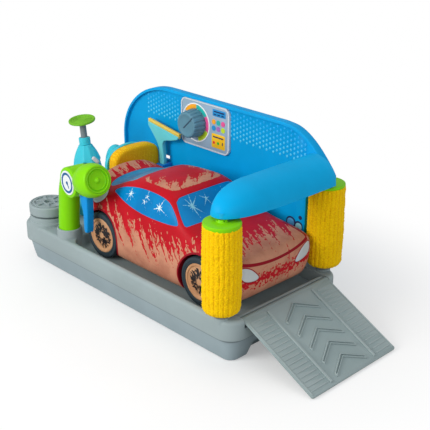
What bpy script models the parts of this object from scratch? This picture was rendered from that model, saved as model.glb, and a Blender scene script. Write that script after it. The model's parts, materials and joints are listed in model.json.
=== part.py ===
# Toy car wash playset: a base with a fold-down ramp, two turning rollers under an arch, a control wall,
# wash tools in their holders and a toy car in the bay.
# Metres, +Z up. X runs from the tool corner to the ramp, Y from the open side to the rear wall.
import math

import bmesh
import bpy
from mathutils import Matrix, Vector

for item in list(bpy.data.objects):
    bpy.data.objects.remove(item, do_unlink=True)

# Shared clearances
GAP = 0.0003
RUNNING_GAP = 0.0004
OVERRUN = 0.004

# Base
BASE_LENGTH = 0.485
BASE_WIDTH = 0.224
CORNER_RADIUS = 0.032
RIDGE_HEIGHT = 0.036
RIM_HEIGHT = 0.066
RIM_FILLET = 0.006
RIDGE_CHAMFER = 0.0012
DECK_WALL = 0.0035
SKIRT_WALL = 0.003
SKIRT_TOP_INSET = 0.005
SKIRT_BOTTOM_INSET = 0.0125
SKIRT_FRONT_BLOCK = 0.034
FOOT_NOTCH_DEPTH = 0.026
FOOT_NOTCH_HEIGHT = 0.021
FOOT_NOTCH_HALF_WIDTH = 0.07
FOOT_NOTCH_SLANT = 0.008

# Car bay
BAY_FLOOR_HEIGHT = 0.048
BAY_LENGTH = 0.317
BAY_FRONT_SETBACK = 0.043
BAY_NEAR_REACH = 0.103
BAY_FAR_REACH = 0.09
BAY_CORNER = 0.024
THRESHOLD_DROP = 0.0018
THRESHOLD_FLAT = 0.004
THRESHOLD_RUN = 0.025
MOUTH_CLEARANCE = 0.0006

# Ramp and its hinge
RAMP_LENGTH = 0.1365
RAMP_WIDTH = 0.172
RAMP_THICKNESS = 0.004
RAMP_END_LIFT = 0.0006
HINGE_HEIGHT = 0.06
HINGE_SETBACK = 0.006
BARREL_RADIUS = 0.0055
BARREL_SEAT_GAP = 0.0015
PIN_RADIUS = 0.0016
PIN_INSERTION = 0.011
RIDGE_STRIP_OFFSET = 0.045
RIDGE_STRIP_WIDTH = 0.0035
RELIEF_HEIGHT = 0.0011
RAMP_MARGIN = 0.0083
CHEVRON_PITCH = 0.0236
CHEVRON_RISE = 0.0205
CHEVRON_WIDTH = 0.0045
CHEVRON_HALF_SPAN = 0.033
CHEVRON_TIP_WIDTH = 0.0058
CHEVRON_START = 0.0015

# Rear wall
WALL_FRONT = 0.092
WALL_BACK = 0.106
WALL_PLATE_FRONT = 0.098
WALL_PLATE_BACK = 0.102
WALL_LEFT_INSET = 0.018
WALL_HEIGHT = 0.271
EAR_TIP_DROP = 0.0625
WALL_LIP = 0.0042
WALL_CORNER_WIDTH = 0.105
WALL_CORNER_HEIGHT = 0.091
WALL_TOP_END_SETBACK = 0.094
WALL_FALL_RADIUS = 0.03
EAR_TIP_SETBACK = 0.0145
EAR_THICKNESS = 0.004
EAR_FRONT_SETBACK = 0.073
WALL_POST_SETBACK = 0.0605
TONGUE_DEPTH = 0.012
TONGUE_HALF_THICKNESS = 0.003
TONGUE_END_INSET = 0.05

# Arch over the bay mouth
ARCH_OUTER_SETBACK = 0.004
ARCH_WIDTH = 0.056
ARCH_CREST_SETBACK = 0.048
ARCH_EAR_DROP = 0.001
ARCH_CREST_RISE = 0.037
ARCH_TIP_REACH = 0.116
ARCH_TAPER_START = 0.046
ARCH_TIP_CENTRE_SETBACK = 0.033
ARCH_WALL = 0.003
ARCH_ROOT_WALL = 0.005
ARCH_TIP_SHARE = 2.2
ARCH_SECTION_SHARE = 1.75
SOCKET_RADIUS = 0.0075
SOCKET_DEPTH = 0.0065
SOCKET_CROWN = 0.0025
SOCKET_RISE = 0.0125
NEAR_SPINDLE_RISE = 0.009

# Rollers
ROLLER_SETBACK = 0.0267
ROLLER_OFFSET = 0.103
ROLLER_BOTTOM = 0.0755
ROLLER_ARCH_GAP = 0.0085
SLEEVE_RADIUS = 0.0258
SLEEVE_THICKNESS = 0.0062
SLEEVE_ROUNDING = 0.003
CAP_RADIUS = 0.025
CAP_THICKNESS = 0.004
CAP_ROUNDING = 0.0016
CAP_BOSS_RADIUS = 0.0065
CAP_BOSS_RISE = 0.0035
SPINDLE_RADIUS = 0.003
SPINDLE_SEAT_DEPTH = 0.012
SPINDLE_FLANGE_RADIUS = 0.007
SPINDLE_FLANGE_THICKNESS = 0.003

# Control plate and dial
PLATE_CENTRE_SETBACK = 0.266
PLATE_CENTRE_DROP = 0.0428
PLATE_WIDTH = 0.107
PLATE_HEIGHT = 0.0748
PLATE_CORNER = 0.009
PLATE_THICKNESS = 0.003
DIAL_SETBACK = 0.2855
DIAL_DROP = 0.0415
KNOB_RADIUS = 0.0225
KNOB_FACE_RADIUS = 0.0197
KNOB_LENGTH = 0.0215
KNOB_FLUTES = 16
KNOB_FLUTE_DEPTH = 0.0011
KNOB_SHAFT_RADIUS = 0.004
KNOB_POINTER_WIDTH = 0.0024
KNOB_POINTER_DEPTH = 0.0012
KNOB_POINTER_ANGLE = math.radians(35)
RETAINER_RADIUS = 0.008
RETAINER_THICKNESS = 0.002

# Squeegee and its bracket
SQUEEGEE_SETBACK = 0.3545
SQUEEGEE_FOOT_HEIGHT = 0.131
SQUEEGEE_HEIGHT = 0.0755
SQUEEGEE_WIDTH = 0.075
SQUEEGEE_THICKNESS = 0.007
SQUEEGEE_DEPTH_CENTRE = 0.085
SQUEEGEE_TILT = math.radians(8.5)
SQUEEGEE_SHIFT = 0.0045
HANDLE_WIDTH = 0.0104
BLADE_HEIGHT = 0.006
BLADE_THICKNESS = 0.004
BRACKET_WIDTH = 0.0165
BRACKET_HEIGHT = 0.0185
BRACKET_FRONT = 0.0765
BRACKET_FLOOR = 0.0025
BRACKET_CLEARANCE = 0.0006
PEG_RADIUS = 0.0025
PEG_LENGTH = 0.0055
WINDOW_LEFT_SETBACK = 0.374
WINDOW_RIGHT_SETBACK = 0.3525
WINDOW_LOW = 0.1495
WINDOW_HIGH = 0.1565

# Brush
BRUSH_CENTRE = 0.0365
BRUSH_HALF_WIDTH = 0.0498
BRUSH_TOP = 0.19
BRUSH_CROWN = 0.033
PAD_FRONT_SETBACK = 0.3635
PAD_THICKNESS = 0.019
PAD_ROUNDING = 0.004
BACKING_THICKNESS = 0.0065
GRIP_DEPTH_RADIUS = 0.0165
GRIP_WIDTH_RADIUS = 0.015
GRIP_OFFSET = 0.0295
GRIP_SHIFT = 0.0125
GRIP_LOW = 0.084
GRIP_TOP = 0.18
BACKING_MARGIN = 0.005
BRUSH_SEAT_DEPTH = 0.004

# Pump bottle
BOTTLE_SETBACK = 0.42
BOTTLE_OFFSET = -0.009
BOTTLE_LEAN = math.radians(8.0)
BOTTLE_SEAT_DEPTH = 0.006
BOTTLE_RADIUS = 0.0272
BOTTLE_DEPTH_RADIUS = 0.0222
BOTTLE_HEIGHT = 0.1215
NECK_RADIUS = 0.0072
NECK_HEIGHT = 0.0055
COLLAR_RADIUS = 0.0092
COLLAR_HEIGHT = 0.012
STEM_RADIUS = 0.0052
STEM_INSERTION = 0.028
PLUNGER_TRAVEL = 0.02
PUSH_PAD_RADIUS = 0.0215
PUSH_PAD_THICKNESS = 0.0045
PUSH_PAD_EDGE = 0.0015
PUSH_PAD_RISE = 0.0255
LOOP_WIDTH = 0.0095
LOOP_OFFSET = 0.0142
LOOP_LOW = 0.045
LOOP_HIGH = 0.0965

# Water gun and its cup
CUP_SETBACK = 0.377
CUP_OFFSET = -0.0903
CUP_RADIUS = 0.01875
CUP_TOP = 0.076
CUP_DEPTH = 0.0215
CUP_CLEARANCE = 0.0006
GUN_TURN = math.radians(-6.0)
GUN_HANDLE_RADIUS = 0.0162
DRUM_FORWARD = 0.032
DRUM_RISE = 0.1105
DRUM_RADIUS = 0.0235
DRUM_HALF_LENGTH = 0.0162
DRUM_EDGE = 0.0019
BARREL_LIFT = math.radians(16.8)
BARREL_REACH = 0.066
NOZZLE_RADIUS = 0.0235
BARREL_BELLY = 0.0262
NOSE_RADIUS = 0.0197
NOSE_RECESS = 0.004
NOSE_THICKNESS = 0.0026
NOSE_RING_RADIUS = 0.0122
NOSE_STEP = 0.00065
NOSE_BUMP_RADIUS = 0.0042
GAUGE_RADIUS = 0.0186
GAUGE_THICKNESS = 0.0016
GAUGE_RECESS = 0.0012
TRIGGER_FORWARD = 0.056
TRIGGER_PIVOT_DROP = 0.0135
TRIGGER_LENGTH = 0.068
TRIGGER_THICKNESS = 0.012
TRIGGER_HEAD_REAR = 0.009
TRIGGER_HEAD_FRONT = 0.0125
TRIGGER_HEAD_RISE = 0.005
TRIGGER_SLOT_GAP = 0.0006
TRIGGER_SWING = math.radians(14)
TRIGGER_PIN_RADIUS = 0.0015
TRIGGER_PIN_LENGTH = 0.021

# Corner wheel
WHEEL_END_INSET = 0.039
WHEEL_SIDE_INSET = 0.033
WHEEL_DISC_RADIUS = 0.032
WHEEL_DISC_TOP = 0.096
WHEEL_DISC_THICKNESS = 0.0145
WHEEL_NECK_RADIUS = 0.026
WHEEL_NECK_HEIGHT = 0.0022
WHEEL_DISC_EDGE = 0.0018
WHEEL_POST_RADIUS = 0.003
WHEEL_POST_HEAD = 0.0062
WHEEL_HEAD_HEIGHT = 0.0025
WHEEL_RELIEF = 0.0016
WHEEL_SPOKES = 7
WHEEL_POCKET_SHARE = 0.72
WHEEL_POCKET_INNER = 0.0105
WHEEL_POCKET_OUTER = 0.0265
TURRET_RADIUS = 0.0315
TURRET_TOP = 0.079

# Toy car
CAR_LENGTH = 0.327
CAR_NOSE_SETBACK = 0.023
CAR_HALF_WIDTH = 0.0825
CAR_CAGE_HALF_WIDTH = 0.0875
CAR_HEIGHT = 0.132
WHEEL_RADIUS = 0.036
TYRE_WIDTH = 0.02
TYRE_EDGE = 0.0024
HUB_RADIUS = 0.027
HUB_THICKNESS = 0.016
AXLE_RADIUS = 0.003
AXLE_HALF_LENGTH = 0.074
FRONT_AXLE_SETBACK = 0.092
REAR_AXLE_SETBACK = 0.3065
ARCH_GAP = 0.0045
CHASSIS_LOW = 0.0655
CHASSIS_THICKNESS = 0.005
CHASSIS_HALF_WIDTH = 0.047
CHASSIS_END_REACH = 0.026
BEARING_HALF_LENGTH = 0.0075
BEARING_WALL = 0.004
CAR_CAVITY_HEIGHT = 0.066
CHASSIS_POST_OFFSET = 0.05
HUB_RECESS = 0.0022
HUB_RIM = 0.004
CAR_CAVITY_MARGIN = 0.0012

# Screws
SCREW_HEAD_RADIUS = 0.0042
SCREW_HEAD_HEIGHT = 0.0018
SCREW_HEAD_EDGE = 0.0008
SCREW_SLOT_WIDTH = 0.0011
SCREW_SLOT_DEPTH = 0.0008
SCREW_SHANK_RADIUS = 0.0015
SCREW_SHANK_LENGTH = 0.012
SCREW_POST_RADIUS = 0.005
SCREW_END_INSET = 0.058
SCREW_SIDE_OFFSET = 0.07
PANEL_SCREW_PITCH = 0.14
PANEL_SCREW_COUNT = 3
ARCH_SCREW_RISE = 0.011
ARCH_SCREW_PITCH = 0.013
ARCH_SCREW_SETBACK = 0.0475
ARCH_SCREW_SHANK = 0.0195
SCREW_RECESS = SCREW_HEAD_HEIGHT + GAP

# Shapes as shares of the sizes above
FAN_RIGHT_SHARES = ((0.139, 0), (0.139, 0.36), (0.067, 0.66), (0.25, 0.76), (1.02, 0.865))
FAN_LEFT_SHARES = ((-0.84, 0.99), (-0.46, 0.78), (-0.307, 0.66), (-0.139, 0.38), (-0.139, 0))
GRIP_SHARES = ((0, 0.86), (0.25, 1), (0.62, 1), (0.8, 0.92), (0.92, 0.7), (0.98, 0.42), (1, 0.2))
BOTTLE_SHARES = ((0, 1), (0.33, 0.955), (0.58, 0.9), (0.78, 0.82), (0.88, 0.68), (0.95, 0.48), (1, 0.36))
HANDLE_SHARES = ((0, 0.95, 0), (0.015, 1, 0), (0.195, 1, 0), (0.5, 1, 0.1), (0.8, 1, 0.22), (1.05, 0.9, 0.4))
BARREL_SHARES = ((-0.1, 0.58), (0.15, 0.64), (0.3, 0.78), (0.5, 0.94), (0.7, 1), (0.88, 0.97), (1, 0.9))
TRIGGER_SHARES = ((0, 0.5), (0.05, 0.9), (0.2, 1), (0.72, 1), (0.86, 0.9), (1, 0.4))
CAR_SHARES = (
    (0, 0.28, 0.55, 0.45, 0.7, 0.72, 0.62, 0.9, 0.45, 0.95),
    (0.02, 0.16, 0.7, 0.42, 0.88, 0.72, 0.76, 0.92, 0.55, 0.96),
    (0.06, 0.1, 0.82, 0.37, 0.96, 0.73, 0.82, 0.86, 0.6, 0.89),
    (0.12, 0.07, 0.88, 0.35, 0.99, 0.73, 0.85, 0.82, 0.68, 0.85),
    (0.22, 0.06, 0.91, 0.33, 1, 0.72, 0.85, 0.98, 0.72, 0.98),
    (0.31, 0.06, 0.92, 0.33, 1, 0.72, 0.84, 1.03, 0.72, 1.05),
    (0.43, 0.06, 0.92, 0.33, 1, 0.72, 0.83, 1.05, 0.72, 1.07),
    (0.555, 0.06, 0.92, 0.32, 1, 0.72, 0.82, 1.06, 0.74, 1.08),
    (0.65, 0.06, 0.91, 0.31, 1, 0.7, 0.86, 0.78, 0.76, 0.8),
    (0.78, 0.07, 0.9, 0.31, 1, 0.66, 0.9, 0.7, 0.68, 0.715),
    (0.9, 0.1, 0.85, 0.32, 0.98, 0.64, 0.92, 0.665, 0.7, 0.675),
    (0.96, 0.15, 0.78, 0.34, 0.91, 0.62, 0.885, 0.64, 0.7, 0.65),
    (0.985, 0.2, 0.71, 0.36, 0.86, 0.6, 0.855, 0.615, 0.68, 0.62),
    (1, 0.28, 0.57, 0.38, 0.75, 0.5, 0.73, 0.54, 0.5, 0.545))
CAR_SOLE_SHARE = 0.75

# Places worked out from the sizes above
EAR_TIP_HEIGHT = WALL_HEIGHT - EAR_TIP_DROP
EAR_BOTTOM_HEIGHT = EAR_TIP_HEIGHT - EAR_THICKNESS
ARCH_LOW_HEIGHT = EAR_BOTTOM_HEIGHT - ARCH_EAR_DROP
NEAR_SPINDLE_TOP = ARCH_LOW_HEIGHT + NEAR_SPINDLE_RISE
ROLLER_TOP = ARCH_LOW_HEIGHT - ROLLER_ARCH_GAP
PLATE_CENTRE_HEIGHT = WALL_HEIGHT - PLATE_CENTRE_DROP
DIAL_HEIGHT = WALL_HEIGHT - DIAL_DROP
FLAP = BARREL_RADIUS - RAMP_THICKNESS
RAMP_SLOPE = math.asin((HINGE_HEIGHT - RAMP_END_LIFT) / math.hypot(RAMP_LENGTH, FLAP)) + math.atan(FLAP / RAMP_LENGTH)
RAMP_REACH = RAMP_LENGTH * math.cos(RAMP_SLOPE) + (BARREL_RADIUS - RELIEF_HEIGHT) * math.sin(RAMP_SLOPE)
FRONT_X = (BASE_LENGTH + HINGE_SETBACK - RAMP_REACH) / 2
HINGE_X = FRONT_X - HINGE_SETBACK
LEFT_X = FRONT_X - BASE_LENGTH
HALF_WIDTH = BASE_WIDTH / 2
BAY_FRONT_X = FRONT_X - BAY_FRONT_SETBACK
BAY_REAR_X = BAY_FRONT_X - BAY_LENGTH
ROLLER_X = FRONT_X - ROLLER_SETBACK
CORNER_X = LEFT_X + WHEEL_END_INSET
CORNER_Y = -HALF_WIDTH + WHEEL_SIDE_INSET
LUG_FACE = RAMP_WIDTH / 2 + MOUTH_CLEARANCE
CAVITY_TOP = BAY_FLOOR_HEIGHT - DECK_WALL
PLATFORM_TOP_INSIDE = RIM_HEIGHT - DECK_WALL

ROUND_STEPS = 28


def srgb(red, green, blue):
    """Turn screen colour values of 0 to 255 into linear ones."""
    def linear(value):
        share = value / 255
        return share / 12.92 if share <= 0.04045 else ((share + 0.055) / 1.055) ** 2.4
    return (linear(red), linear(green), linear(blue), 1.0)


def plastic(name, colour, roughness=0.45, metallic=0.0):
    material = bpy.data.materials.new(name)
    material.use_nodes = True
    shader = material.node_tree.nodes["Principled BSDF"]
    shader.inputs["Base Color"].default_value = colour
    shader.inputs["Roughness"].default_value = roughness
    shader.inputs["Metallic"].default_value = metallic
    return material


GREY_PLASTIC = plastic("base_grey", srgb(156, 170, 174), 0.5)
RAMP_PLASTIC = plastic("ramp_grey", srgb(132, 150, 150), 0.5)
BLUE_PLASTIC = plastic("wall_blue", srgb(0, 140, 215), 0.42)
ARCH_BLUE = plastic("arch_blue", srgb(0, 156, 220), 0.4)
DARK_BLUE = plastic("bracket_blue", srgb(0, 105, 190), 0.45)
KNOB_GREY = plastic("knob_grey", srgb(92, 132, 150), 0.45)
PLATE_GREY = plastic("plate_grey", srgb(150, 172, 196), 0.4)
LIME_PLASTIC = plastic("lime", srgb(120, 205, 30), 0.38)
TEAL_PLASTIC = plastic("teal", srgb(70, 200, 215), 0.4)
YELLOW_RUBBER = plastic("blade_yellow", srgb(236, 200, 70), 0.6)
YELLOW_CLOTH = plastic("sleeve_yellow", srgb(250, 205, 10), 0.95)
MESH_YELLOW = plastic("pad_yellow", srgb(230, 170, 10), 0.9)
STEM_GREY = plastic("stem_grey", srgb(120, 130, 136), 0.4)
TRIGGER_BLUE = plastic("trigger_blue", srgb(10, 140, 215), 0.4)
WHITE_PLASTIC = plastic("gauge_white", srgb(235, 240, 242), 0.35)
CAR_RED = plastic("car_red", srgb(200, 28, 45), 0.4)
CHASSIS_BLACK = plastic("chassis_black", srgb(40, 40, 44), 0.6)
TYRE_BLACK = plastic("tyre_black", srgb(38, 48, 60), 0.7)
HUB_BEIGE = plastic("hub_beige", srgb(210, 160, 120), 0.5)
STEEL = plastic("steel", srgb(190, 192, 196), 0.3, 1.0)


def add_object(name, shape, material=None, parent=None, origin=(0, 0, 0)):
    """Make an object from a bmesh drawn in its parent's space, with its origin where asked."""
    bmesh.ops.recalc_face_normals(shape, faces=shape.faces)
    bmesh.ops.translate(shape, verts=shape.verts, vec=-Vector(origin))
    mesh = bpy.data.meshes.new(name)
    shape.to_mesh(mesh)
    shape.free()
    mesh.shade_smooth()
    mesh.set_sharp_from_angle(angle=math.radians(32))
    made = bpy.data.objects.new(name, mesh)
    made.location = origin
    made.parent = parent
    if material:
        mesh.materials.append(material)
    bpy.context.scene.collection.objects.link(made)
    return made


def add_empty(name, location, rotation=(0, 0, 0)):
    made = bpy.data.objects.new(name, None)
    made.location = location
    made.rotation_euler = rotation
    bpy.context.scene.collection.objects.link(made)
    return made


def combine(target, shape, operation, parent=None):
    """Join a bmesh to a piece, or cut it out, with a hidden tool object."""
    tool = add_object(target.name + "_" + operation.lower() + str(len(target.modifiers)), shape, None, parent)
    tool.hide_render = True
    tool.display_type = "WIRE"
    modifier = target.modifiers.new(tool.name, "BOOLEAN")
    modifier.object = tool
    modifier.operation = operation
    modifier.solver = "EXACT"
    return tool


def cut(target, shape, parent=None):
    return combine(target, shape, "DIFFERENCE", parent)


def fuse(target, shape, parent=None):
    return combine(target, shape, "UNION", parent)


def stack(rings):
    """Close a solid through rings of equally many points."""
    shape = bmesh.new()
    rows = [[shape.verts.new(point) for point in ring] for ring in rings]
    count = len(rings[0])
    for low, high in zip(rows, rows[1:]):
        for step in range(count):
            after = (step + 1) % count
            shape.faces.new((low[step], low[after], high[after], high[step]))
    shape.faces.new(list(reversed(rows[0])))
    shape.faces.new(rows[-1])
    return shape


def turn(profile, steps=ROUND_STEPS, matrix=None):
    """Turn a profile of (radius, height) points about Z. Radius 0 at both ends closes it on the axis."""
    shape = bmesh.new()
    solid = profile[0][0] == 0
    rows = []
    for radius, height in profile:
        if radius == 0:
            rows.append([shape.verts.new((0, 0, height))] * steps)
            continue
        angles = [2 * math.pi * step / steps for step in range(steps)]
        rows.append([shape.verts.new((radius * math.cos(a), radius * math.sin(a), height)) for a in angles])
    pairs = list(zip(rows, rows[1:]))
    if not solid:
        pairs.append((rows[-1], rows[0]))
    for low, high in pairs:
        for step in range(steps):
            after = (step + 1) % steps
            corners = [low[step], low[after], high[after], high[step]]
            shape.faces.new(list(dict.fromkeys(corners)))
    if matrix:
        bmesh.ops.transform(shape, matrix=matrix, verts=shape.verts)
    return shape


def rod(radius, low, high, centre=(0, 0), steps=ROUND_STEPS):
    """A plain cylinder along Z."""
    profile = [(0, low), (radius, low), (radius, high), (0, high)]
    return turn(profile, steps, Matrix.Translation((centre[0], centre[1], 0)))


def along_y(x, y, z):
    """A frame whose Z axis points to the open side, -Y."""
    return Matrix.Translation((x, y, z)) @ Matrix.Rotation(math.pi / 2, 4, "X")


def box(low, high):
    """A plain box between two corners."""
    corners = [(low[0], low[1]), (high[0], low[1]), (high[0], high[1]), (low[0], high[1])]
    return stack([[(x, y, low[2]) for x, y in corners], [(x, y, high[2]) for x, y in corners]])


def arc(centre, radii, start, end, steps):
    """Points of an elliptic arc, angles in degrees."""
    points = []
    for step in range(steps + 1):
        angle = math.radians(start + (end - start) * step / steps)
        points.append((centre[0] + radii[0] * math.cos(angle), centre[1] + radii[1] * math.sin(angle)))
    return points


def rounded_rectangle(x_low, x_high, y_low, y_high, radius, steps=6):
    corners = [(x_high - radius, y_low + radius, -90), (x_high - radius, y_high - radius, 0),
               (x_low + radius, y_high - radius, 90), (x_low + radius, y_low + radius, 180)]
    points = []
    for x, y, start in corners:
        points += arc((x, y), (radius, radius), start, start + 90, steps)
    return points


def superellipse(radii, power, steps):
    points = []
    for step in range(steps):
        angle = 2 * math.pi * step / steps
        cosine, sine = math.cos(angle), math.sin(angle)
        x = math.copysign(abs(cosine) ** (2 / power), cosine) * radii[0]
        y = math.copysign(abs(sine) ** (2 / power), sine) * radii[1]
        points.append((x, y))
    return points


def inset_outline(points, distance):
    """Move each point of a closed outline, drawn anticlockwise, inwards."""
    moved = []
    for index, point in enumerate(points):
        before = Vector(points[index - 1])
        here = Vector(point)
        after = Vector(points[(index + 1) % len(points)])
        first = (here - before).normalized()
        second = (after - here).normalized()
        normal = Vector((-first.y - second.y, first.x + second.x)).normalized()
        facing = max(normal.dot(Vector((-first.y, first.x))), 0.35)
        moved.append(tuple(here + normal * distance / facing))
    return moved


def upright(points, y_low, y_high):
    """A plate from an outline in X and Z."""
    return stack([[(x, y_low, z) for x, z in points], [(x, y_high, z) for x, z in points]])


def screw_profile(shank):
    """A pan head with its shank, head down."""
    head = SCREW_HEAD_RADIUS
    top = SCREW_HEAD_HEIGHT
    return [(0, 0), (head - SCREW_HEAD_EDGE, 0), (head, SCREW_HEAD_EDGE), (head, top), (SCREW_SHANK_RADIUS, top),
            (SCREW_SHANK_RADIUS, top + shank), (0, top + shank)]


def add_screw(name, matrix, shank=SCREW_SHANK_LENGTH):
    made = add_object(name, turn(screw_profile(shank), 12, matrix), STEEL)
    blade = box((-SCREW_HEAD_RADIUS, -SCREW_SLOT_WIDTH / 2, -OVERRUN),
                (SCREW_HEAD_RADIUS, SCREW_SLOT_WIDTH / 2, SCREW_SLOT_DEPTH))
    bmesh.ops.transform(blade, matrix=matrix, verts=blade.verts)
    cut(made, blade)
    return made


def screw_places():
    """Where the base screws stand: name, X, Y and how high their posts reach."""
    places = []
    for end, x, roof in (("rear", LEFT_X + SCREW_END_INSET, RIM_HEIGHT), ("front", FRONT_X - SCREW_END_INSET,
                                                                        BAY_FLOOR_HEIGHT)):
        for side, y in (("near", -SCREW_SIDE_OFFSET), ("far", SCREW_SIDE_OFFSET)):
            places.append((end + "_" + side, x, y, roof - DECK_WALL / 2))
    return places


# Base deck
def base_outline(inset):
    return rounded_rectangle(LEFT_X + inset, FRONT_X - inset, -HALF_WIDTH + inset, HALF_WIDTH - inset,
                             CORNER_RADIUS - inset)


def make_deck():
    levels = [(RIDGE_CHAMFER, RIDGE_HEIGHT), (0, RIDGE_HEIGHT + RIDGE_CHAMFER)]
    for step in range(4):
        angle = math.radians(30 * step)
        levels.append((RIM_FILLET * (1 - math.cos(angle)), RIM_HEIGHT - RIM_FILLET * (1 - math.sin(angle))))
    deck = add_object("base_deck", stack([[(x, y, z) for x, y in base_outline(inset)] for inset, z in levels]),
                      GREY_PLASTIC)
    hollow = [(x, y) for x, y in base_outline(DECK_WALL)]
    cut(deck, stack([[(x, y, z) for x, y in hollow] for z in (RIDGE_HEIGHT - OVERRUN, CAVITY_TOP)]))
    pocket = rounded_rectangle(LEFT_X + RIM_FILLET, BAY_REAR_X - RIM_FILLET, -HALF_WIDTH + CORNER_RADIUS / 2,
                               BAY_FAR_REACH - RIM_FILLET, CORNER_RADIUS / 2, 3)
    cut(deck, stack([[(x, y, z) for x, y in pocket] for z in (RIDGE_HEIGHT - OVERRUN, PLATFORM_TOP_INSIDE)]))
    bay = rounded_rectangle(BAY_REAR_X, BAY_FRONT_X, -BAY_NEAR_REACH, BAY_FAR_REACH, BAY_CORNER, 6)
    cut(deck, stack([[(x, y, z) for x, y in bay] for z in (BAY_FLOOR_HEIGHT, RIM_HEIGHT + OVERRUN)]))
    threshold_end = HINGE_X - BARREL_RADIUS - BARREL_SEAT_GAP
    threshold_top = HINGE_HEIGHT + BARREL_RADIUS - THRESHOLD_DROP
    seat = HINGE_HEIGHT - BARREL_RADIUS - BARREL_SEAT_GAP
    mouth = [(BAY_FRONT_X - BAY_CORNER, BAY_FLOOR_HEIGHT), (threshold_end - THRESHOLD_RUN, BAY_FLOOR_HEIGHT),
             (threshold_end - THRESHOLD_FLAT, threshold_top), (threshold_end, threshold_top), (threshold_end, seat),
             (FRONT_X + OVERRUN, seat), (FRONT_X + OVERRUN, RIM_HEIGHT + OVERRUN),
             (BAY_FRONT_X - BAY_CORNER, RIM_HEIGHT + OVERRUN)]
    cut(deck, upright(mouth, -LUG_FACE, LUG_FACE))
    for side in (-1, 1):
        hole = turn([(0, 0), (PIN_RADIUS + GAP, 0), (PIN_RADIUS + GAP, LUG_FACE + PIN_INSERTION + GAP),
                     (0, LUG_FACE + PIN_INSERTION + GAP)], 16,
                    Matrix.Translation((HINGE_X, 0, HINGE_HEIGHT)) @ Matrix.Rotation(-side * math.pi / 2, 4, "X"))
        cut(deck, hole)
    make_deck_bosses(deck)
    make_deck_sockets(deck)
    return deck


def make_deck_bosses(deck):
    """Turret, cup, pillars under the sockets and screw posts."""
    fuse(deck, rod(TURRET_RADIUS, CAVITY_TOP, TURRET_TOP, (CORNER_X, CORNER_Y), 40))
    cup = (FRONT_X - CUP_SETBACK, CUP_OFFSET)
    fuse(deck, rod(CUP_RADIUS, CAVITY_TOP, CUP_TOP, cup))
    fuse(deck, rod(BOTTLE_RADIUS + DECK_WALL, CAVITY_TOP, PLATFORM_TOP_INSIDE + OVERRUN / 2,
                   (FRONT_X - BOTTLE_SETBACK, BOTTLE_OFFSET), 24))
    brush_front = FRONT_X - PAD_FRONT_SETBACK
    brush_back = brush_front - PAD_THICKNESS - BACKING_THICKNESS
    fuse(deck, box((brush_back - DECK_WALL, BRUSH_CENTRE - BRUSH_HALF_WIDTH - DECK_WALL / 2, CAVITY_TOP),
                   (brush_front - OVERRUN / 4, BRUSH_CENTRE + BRUSH_HALF_WIDTH - OVERRUN / 2,
                    PLATFORM_TOP_INSIDE + OVERRUN / 2)))
    for name, x, y, top in screw_places():
        fuse(deck, rod(SCREW_POST_RADIUS, SKIRT_WALL + GAP, top, (x, y), 16))


def make_deck_sockets(deck):
    """Bores for the spindles, the gun, the bottle, the brush, the wheel post, the wall tongue and screws."""
    for side in (-1, 1):
        cut(deck, rod(SPINDLE_RADIUS + GAP, RIM_HEIGHT - SPINDLE_SEAT_DEPTH - GAP, RIM_HEIGHT + OVERRUN,
                      (ROLLER_X, side * ROLLER_OFFSET), 16))
    cup = (FRONT_X - CUP_SETBACK, CUP_OFFSET)
    cut(deck, rod(GUN_HANDLE_RADIUS + CUP_CLEARANCE, CUP_TOP - CUP_DEPTH, CUP_TOP + OVERRUN, cup))
    seat = bottle_ring(0, CUP_CLEARANCE)
    cut(deck, stack([[(x, y, z) for x, y in seat] for z in (-GAP, RIM_HEIGHT / 2)]), bottle_frame)
    brush_front = FRONT_X - PAD_FRONT_SETBACK
    brush_back = brush_front - PAD_THICKNESS - BACKING_THICKNESS
    reach = BRUSH_HALF_WIDTH + CUP_CLEARANCE
    cut(deck, box((brush_back - CUP_CLEARANCE, BRUSH_CENTRE - reach, RIM_HEIGHT - BRUSH_SEAT_DEPTH - GAP),
                  (brush_front + CUP_CLEARANCE, BRUSH_CENTRE + reach, RIM_HEIGHT + OVERRUN)))
    cut(deck, rod(WHEEL_POST_RADIUS + GAP, TURRET_TOP - SPINDLE_SEAT_DEPTH - GAP, TURRET_TOP + OVERRUN,
                  (CORNER_X, CORNER_Y), 16))
    tongue_gap = TONGUE_HALF_THICKNESS + GAP
    wall_middle = (WALL_PLATE_FRONT + WALL_PLATE_BACK) / 2
    cut(deck, box((wall_left() + TONGUE_END_INSET - GAP, wall_middle - tongue_gap, RIM_HEIGHT - TONGUE_DEPTH - GAP),
                  (wall_post_x() - TONGUE_END_INSET + GAP, wall_middle + tongue_gap, RIM_HEIGHT + OVERRUN)))
    for name, x, y, top in screw_places():
        cut(deck, rod(SCREW_SHANK_RADIUS + GAP, 0, SCREW_RECESS + SCREW_SHANK_LENGTH, (x, y), 16))
    for matrix in panel_screw_frames():
        bore = SCREW_SHANK_RADIUS + GAP
        cut(deck, turn([(0, -OVERRUN), (SCREW_HEAD_RADIUS + GAP, -OVERRUN), (SCREW_HEAD_RADIUS + GAP, SCREW_RECESS),
                        (bore, SCREW_RECESS), (bore, HALF_WIDTH - wall_middle), (0, HALF_WIDTH - wall_middle)],
                       16, matrix))


def wall_left():
    return LEFT_X + WALL_LEFT_INSET


def wall_post_x():
    return FRONT_X - WALL_POST_SETBACK


def panel_screw_frames():
    """Frames of the screws that hold the rear wall's tongue, driven in from behind."""
    middle = (wall_left() + wall_post_x()) / 2
    height = RIM_HEIGHT - TONGUE_DEPTH / 2
    frames = []
    for index in range(PANEL_SCREW_COUNT):
        x = middle + (index - (PANEL_SCREW_COUNT - 1) / 2) * PANEL_SCREW_PITCH
        frames.append(along_y(x, HALF_WIDTH, height))
    return frames


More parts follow.
